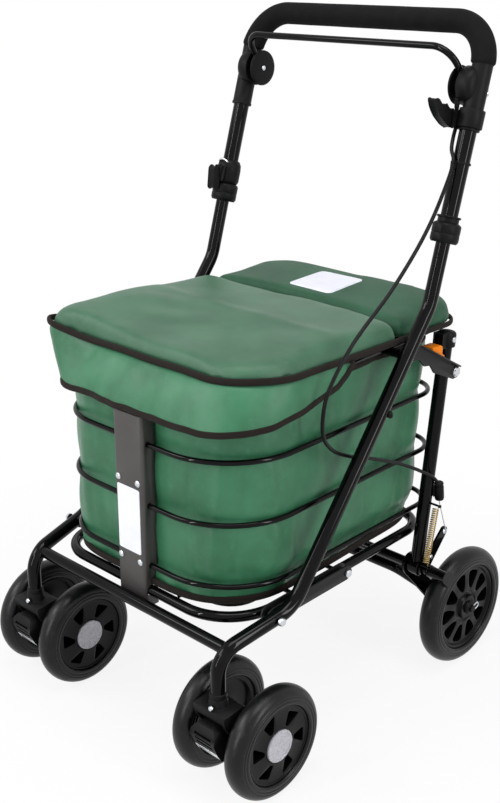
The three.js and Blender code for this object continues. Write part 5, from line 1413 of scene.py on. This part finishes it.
def addRearLeg(s, word, side):
    (y1, z1), (y2, z2) = brakePivot, legTop
    x, (foldY, foldZ) = s["x"], s["foldBolt"]
    parts = [tubeMesh("rearLeg", [(x, y1, z1), (x, y2, z2)], s["leg"], 32, side=side),
             revolve("bush", s["bush"], (x, y1, z1), (1, 0, 0), 40, side),
             prism("lug", link(onLeg(foldZ), foldZ, 8, foldY, foldZ, 9), *s["lugX"], 0.8, side)]
    if side > 0:
        parts.append(revolve("pin", s["pin"], (x, onLeg(s["springPin"]), s["springPin"]), (1, 0, 0), 20))
    addSteel("rearLeg_" + word, joinMeshes("rearLeg", parts), "rear_frame", "rear_leg_" + word)
    cap = revolve("legCap", s["cap"], (x, y2 + 0.2, z2 + 0.8), (0, y2 - y1, z2 - z1), 44, side)
    capBlock = prism("capBlock", s["capBlock"], *s["capBlockX"], 1.6, side)
    addBlack("legCap_" + word, joinMeshes("legCap", [cap, capBlock]), "rear_frame", "leg_cap_" + word)
    catch = refined("fold_catch_" + word, 0.9)
    addPiece("foldCatch_" + word, catch, "orange", "catch_" + word, ["fold_catch_" + word])
    for name, ((out, y, z), radius, body, tall) in s["bolts"].items():
        boltHead("%s_%s" % (name, word), (side * out, y, z), (side, 0, 0), radius, body, tall)


def addRearFrame(s):
    for word, side in bothSides:
        addRearLeg(s, word, side)
    x = s["x"] - s["leg"] - 0.3   # the plates' outer faces, just inside the legs
    low, (atPivot, atAxle) = x - s["plate"], s["plateRadii"]
    step, end = s["spacerTo"] - x, s["axleTo"] - x
    axle = [(0, 0), (6, 0), (10, 0), (10, step), (6, step), (6, end), (0, end)]
    parts = []
    for side in (1, -1):
        parts.append(prism("plate", link(*brakePivot, atPivot, *rearAxle, atAxle), low, x, 0.8, side))
        parts.append(revolve("spacer", axle, (low, *rearAxle), (1, 0, 0), 36, side))
    half, reach = s["crossHalf"], x - 2
    bend = (*s["cross"], s["crossCorner"])
    stops = [(-reach, *s["crossEnd"]), (-half, *bend), (half, *bend), (reach, *s["crossEnd"])]
    bar = sweep(bentPath(stops, 14), circle(s["crossRadius"], 26), unit(np.array([0, -0.72, -0.69])))
    parts.append(gridMesh("bar", bar))
    addSteel("axleFrame", joinMeshes("axleFrame", parts), "rear_frame", "axle_frame")


addRearFrame(rearFrame)

brake = {
    "shaft": 7, "shaftHalf": 228.2, "shoe": 8.9, "shoeOffset": 14, "shoeX": (198, 229),
    "arm": (187, 184, 205), "armThick": 3.5, "armHole": 2.2,   # the arm's inner face and its eye's y and z
    "springPin": (188, -6, 8),
    "pin": [(0, 0), (1.6, 0), (1.6, 13), (2.4, 13.5), (2.4, 15), (0, 15)],
}


def addBrake(s):
    (y, z), r, half = brakePivot, s["shaft"], s["shaftHalf"]
    away = unit(np.array(rearAxle) - np.array(brakePivot))
    shoeY, shoeZ = y - away[1] * s["shoeOffset"], z - away[0] * s["shoeOffset"]
    parts = [revolve("shaft", [(0, -half), (r, -half), (r, half), (0, half)], (0, y, z), (1, 0, 0), 32)]
    for side in (1, -1):
        parts.append(prism("shoe", link(y, z, r + 1, shoeY, shoeZ, s["shoe"]), *s["shoeX"], 1.2, side))
    x, tipY, tipZ = s["arm"]
    blank = prism("arm", link(y, z, 10, tipY, tipZ, 7), x, x + s["armThick"], 0)
    hole = prism("hole", link(tipY, tipZ, s["armHole"], tipY, tipZ + 0.01, s["armHole"]), x - 2, x + 6, 0)
    parts.append(bevelled(cutMesh(blank, [hole]), 0.6))
    pinX, pinY, pinZ = s["springPin"]
    parts.append(revolve("pin", s["pin"], (pinX, y + pinY, z + pinZ), (1, 0, 0), 20))
    addSteel("brakeShaft", joinMeshes("brakeShaft", parts), "brake", "brake_shaft")
    face = x + s["armThick"] - 0.1
    boltHead("armEye", (face, tipY, tipZ), (1, 0, 0), 4.6, "brake", 2.6)
    boltHead("armRivet", (face, y + 13, z + 14), (1, 0, 0), 3.6, "brake", 2.0)


addBrake(brake)

spring = {"x": 195.5, "radius": 4.0, "wire": 0.95, "turns": 26, "top": (153.0, 256.1), "low": (134.8, 170.6)}


def addSpring(s):
    # A helix: point = axis point + radius * (cos, sin), with a short straight tail at each end.
    top, low = np.array([s["x"], *s["top"]]), np.array([s["x"], *s["low"]])
    axis = unit(top - low)
    length = float(np.linalg.norm(top - low))
    a = np.linspace(0, 2 * np.pi * s["turns"], s["turns"] * 18 + 1)[:, None]
    first, second = np.array([1.0, 0, 0]), np.cross(axis, (1.0, 0, 0))
    run = np.linspace(3, length - 3, len(a))[:, None]
    coil = low + axis * run + s["radius"] * (np.cos(a) * first + np.sin(a) * second)
    coil = np.concatenate([low[None] + first * s["radius"], coil, top[None] + first * s["radius"]])
    mesh = gridMesh("returnSpring", sweep(coil, circle(s["wire"], 8), axis))
    obj = addPiece("returnSpring", mesh, "brass", None, ["return_spring"])
    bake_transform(obj)


addSpring(spring)


cableStop = {
    "x": 190, "z": 274, "off": 12, "bootZ": 288.2, "bootAxis": (0, 4.0, -28.0),
    "boot": [(1.4, 0), (5.2, 0), (6.6, 1.2), (6.6, 3.4), (5.6, 4.2), (5.6, 6), (6.8, 6.8), (6.8, 25),
             (6.0, 27.5), (4.6, 28.2), (1.4, 28.3)],
    "plateX": (177, 188), "plateZ": (268, 280), "plateY": (-11, 2),
}


def addCableStop(s):
    # a boot behind the right leg, on a small plate, and the inner wire from it to the brake arm's eye
    x, y = s["x"], onLeg(s["z"]) + s["off"]
    boot = revolve("boot", s["boot"], (x, y - 3, s["bootZ"]), unit(np.array(s["bootAxis"])), 36)
    (y1, y2), (z1, z2) = s["plateY"], s["plateZ"]
    plate = prism("stopPlate", [(y + y1, z1), (y + y2, z1), (y + y2, z2), (y + y1, z2)], *s["plateX"], 0.8)
    addBlack("cableStop", joinMeshes("cableStop", [boot, plate]), "rear_frame", "cable_stop")
    eye = brake["arm"][1:]
    path = bentPath([(x, y + 0.2, 266), (x, y + 2, 254, 10), (193.5, *eye, 1.5), (185, *eye)], 8)
    wire = gridMesh("brakeWire", sweep(path, circle(cable["wire"], 10), (0.2, 0.9, 0.3)))
    obj = addPiece("brakeWire", wire, "zinc", None, ["brake_wire"])
    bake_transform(obj)


addCableStop(cableStop)
print("rear frame done")


def tyreShape(radius, half, seat):
    # Half an oval: x = half * sin a, r = seat + 3 + (radius - seat - 3) * cos^0.62 a, with two thin moulded
    # lines on each side.
    a = np.linspace(-0.5, 0.5, 97) * np.pi
    r = seat + 3 + (radius - seat - 3) * np.cos(a) ** 0.62
    x = half * np.sin(a)
    for line in (seat + 6.5, seat + 10.5):
        x = x * (1 - 0.05 * np.exp(-((r - line) / 0.55) ** 2))
    low = [(seat + 1.6, half * 0.985), (seat + 0.8, half * 0.93), (seat + 0.2, half * 0.8)]
    return [tuple(p) for p in np.column_stack([r, x])] + low + [(r0, -x0) for r0, x0 in low[::-1]]


def petals(count, inner, outer, narrow, wide, squareness, skew):
    # Window outlines round a hub, as y, z about the axle: superellipses that widen outwards and lean by skew.
    turns = 2 * np.pi * (np.arange(count) + 0.5) / count + np.pi / 2
    t = np.linspace(0, 2 * np.pi, 32, endpoint=False)
    radial = (inner + outer) / 2 - (outer - inner) / 2 * power(np.cos(t), squareness)
    width = narrow + (wide - narrow) * (radial - inner) / (outer - inner)
    across = width * power(np.sin(t), squareness) + skew * (radial - inner)
    return [np.stack([radial * np.cos(w) - across * np.sin(w), radial * np.sin(w) + across * np.cos(w)], 1)
            for w in turns]


wheel = {
    "rear": {
        "radius": 87.3, "half": 15.6, "seat": 64,
        "profile": [(6.4, -11), (17, -11), (17.5, -10), (18, -7), (56, -6), (57.5, -10), (58.5, -11),
                    (63.6, -11.6), (64.6, -9), (64.6, 11), (63.4, 12.4), (60.6, 12.4), (59.4, 11),
                    (58.4, 8.6), (40, 9.4), (24, 10.4), (22.6, 8.8), (20.6, 8.2), (18.6, 8.8), (17.2, 13.6),
                    (15.8, 14.6), (6.4, 14.6)],
        "windows": (10, 28.5, 55.5, 4.6, 13.4, 0.62, 0.0),   # as petals takes them
    },
    "front": {
        "radius": 75, "half": 15.6, "seat": 53,
        "profile": [(5.2, -11), (20, -11), (20.5, -10), (21, -5), (45, -4), (46.5, -10), (47.5, -11),
                    (52.6, -11.6), (53.6, -9), (53.6, 11.4), (52.6, 12.4), (50.6, 12.4), (49.8, 11.2),
                    (48.8, 11), (25, 12.6), (23.6, 12.8), (22.6, 12.2), (5.2, 12.2)],
        "windows": (6, 25.5, 44.5, 3.0, 11.2, 0.3, -0.3),
    },
    "rearX": 212, "stemX": stem[0], "pairHalf": 45.9, "frontY": -216.4,
    "cap": [(0, 0), (9.5, 0), (9.5, 2), (8, 4.2), (5.5, 5.4), (5.5, 8.6), (4.8, 9.4), (0, 9.6)], "capX": 226,
    "pin": [(0, -4, 3.2), (0, 5, 3.2), (0, 14, 6, 3), (0, 17, -1, 3), (0, 9, -4, 3), (0, 3, -2)],
    "pinX": 232.5, "pinRadius": 0.9,
    "reflector": 21.6, "reflectorOut": 11.6,
}


def addWheel(name, x, y, s, side, body):
    z = s["radius"]
    tyre = revolve("tyre", tyreShape(s["radius"], s["half"], s["seat"]), (x, y, z), (side, 0, 0), 128)
    addPiece(name + "_rubber", tyre, "tyre", body, [name + "_tyre"], 50)
    rim = revolve("rim", s["profile"], (x, y, z), (side, 0, 0), 96)
    pockets = [o + np.array([y, z]) for o in petals(*s["windows"])]   # blind: they stop inside the disc
    rim = cutMesh(rim, [prism("window", o, x - side * 2.5, x + side * 20, 0) for o in pockets])
    rim = bevelled(rim, 0.5, 2, 42)
    addPiece(name + "_disc", rim, "rim", body, [name + "_rim"], 32)


def reflectorDisc(at, side, radius):
    # Four facets: height = 1.9 + 1.3 * (r / radius) * |cos 2a| over the lens, inside a plain rim.
    a = np.linspace(0, 2 * np.pi, 64, endpoint=False)[None]
    r = np.array([0.02, 0.3, 0.6, 0.85, 0.87, 0.97, 1.0, 1.0])[:, None]
    lens = r < 0.86
    edge = np.array([0, 0, 0, 0, 0, 0, 2.2, 0])[:, None]
    height = np.where(lens, 1.9 + 1.3 * r * np.abs(np.cos(2 * a)), 3.2) * (r < 1) + edge
    y, z = at[1] + radius * r * np.cos(a) * side, at[2] + radius * r * np.sin(a)
    disc = np.stack([at[0] + side * height, y, z], 2)
    return gridMesh("reflector", disc)


def addWheels(s):
    rear, front, (axleY, axleZ) = s["rear"], s["front"], rearAxle
    for word, side in bothSides:
        name = "rear_wheel_" + word
        addWheel(name, side * s["rearX"], axleY, rear, side, name)
        cap = revolve("cap", s["cap"], (side * s["capX"], axleY, axleZ), (side, 0, 0), 36)
        addPiece("hubCap_" + word, cap, "plastic", name)
        line = bentPath(s["pin"], 8) + np.array([side * s["pinX"], axleY, axleZ])
        pin = gridMesh("pin", sweep(line, circle(s["pinRadius"], 10)))
        addPiece("splitPin_" + word, pin, "zinc", name)
        for outward, place in bothSides:
            name = "caster_%s_%s" % (word, outward)
            body = "caster_%s_wheel_%s" % (word, outward)
            x = side * s["stemX"] + place * s["pairHalf"]
            addWheel(name, x, s["frontY"], front, place, body)
            at = (x + place * s["reflectorOut"], s["frontY"], front["radius"])
            disc = reflectorDisc(at, place, s["reflector"])
            addPiece(name + "_reflector", disc, "reflector", body, sharp=24)


addWheels(wheel)
print("wheels done")


pedal = {
    "half": 21.4, "archZ": 92, "archHigh": 20, "beyond": {"x": 30, "y": (-300, -240), "z": 118},
    "grooves": (97, 90, 83), "grooveHalf": 14, "grooveHigh": 1.7, "grooveDepth": 2.6,
    "side": [(-254, 105), (-266, 112), (-277, 111), (-285, 108), (-289.5, 101), (-290.6, 93), (-283.5, 76),
             (-277, 66.5), (-271, 66.5), (-264, 72), (-253, 95)],
    "faceZ": (66.5, 76, 93, 101), "faceY": (-277, -283.5, -290.6, -289.5),   # the front of that outline
    "strip": [(-282.6, 73.8), (-277.2, 65.2), (-275.6, 66.2), (-281, 74.8)], "stripHalf": 20,
}


def pedalShell(s, x):
    # The side outline cut by an arch: half width = half * (1 - ((z - archZ) / archHigh)^2)^0.4 above archZ.
    body = prism("pedal", s["side"], x - s["half"], x + s["half"], 1.6)
    z = np.linspace(s["archZ"], s["archZ"] + s["archHigh"], 14)
    wide = s["half"] * np.maximum(1 - ((z - s["archZ"]) / s["archHigh"]) ** 2, 0.0) ** 0.4
    tools, past = [], s["beyond"]
    for side in (1, -1):
        outer = x + side * past["x"]
        rim = np.column_stack([x + side * wide, z])
        rim = np.concatenate([[(outer, s["archZ"])], rim, [(x, past["z"]), (outer, past["z"])]])
        low, high = (np.insert(rim, 1, y, axis=1) for y in past["y"])
        tools.append(gridMesh("arch", np.stack([low, high])))
    for level in s["grooves"]:
        y = np.interp(level, s["faceZ"], s["faceY"])
        low, high, inner = level - s["grooveHigh"], level + s["grooveHigh"], y + s["grooveDepth"]
        groove = [(y - 4, low), (inner, low), (inner, high), (y - 4, high)]
        tools.append(prism("groove", groove, x - s["grooveHalf"], x + s["grooveHalf"], 0))
    return bevelled(cutMesh(body, tools), 0.6, 2, 38)


caster = {
    "axleEnd": [(-224, 68), (-208, 68), (-208, 82), (-224, 82)], "axleEndX": (56.5, 68), "edge": 1.0,
    "forkScrew": (27, -251, 118), "stemScrew": (3, -278, 132),   # x from the stem's middle
    "forkRadius": 4.0, "stemRadius": 3.2,
}


def addCasters(s):
    for word, side in bothSides:
        x = side * stem[0]
        body = "caster_" + word
        start, stop = s["axleEndX"]
        ends = [prism("end", s["axleEnd"], x + place * start, x + place * stop, 0) for place in (1, -1)]
        fork = cutMesh(refined("caster_fork_" + word, 0), ends)   # the reflectors sit where the axle ended
        fork = bevelled(fork, s["edge"])
        addBlack("casterFork_" + word, fork, body, "caster_fork_" + word)
        strip = prism("strip", pedal["strip"], x - pedal["stripHalf"], x + pedal["stripHalf"], 0.3)
        addPiece("pedalStrip_" + word, strip, "zinc", "pedal_" + word)
        shell = pedalShell(pedal, x)
        addPiece("casterPedal_" + word, shell, "plastic", "pedal_" + word, ["caster_pedal_" + word])
        out, y, z = s["forkScrew"]
        for letter, place in (("a", 1), ("b", -1)):
            name = "forkScrew_%s_%s" % (word, letter)
            boltHead(name, (x + place * out, y, z), (place, 0, 0), s["forkRadius"], body, 2.6)
        out, y, z = s["stemScrew"]
        boltHead("stemScrew_" + word, (x + out, y, z), (0, -1, 0), s["stemRadius"], body, 2.2)


addCasters(caster)
print("casters done")
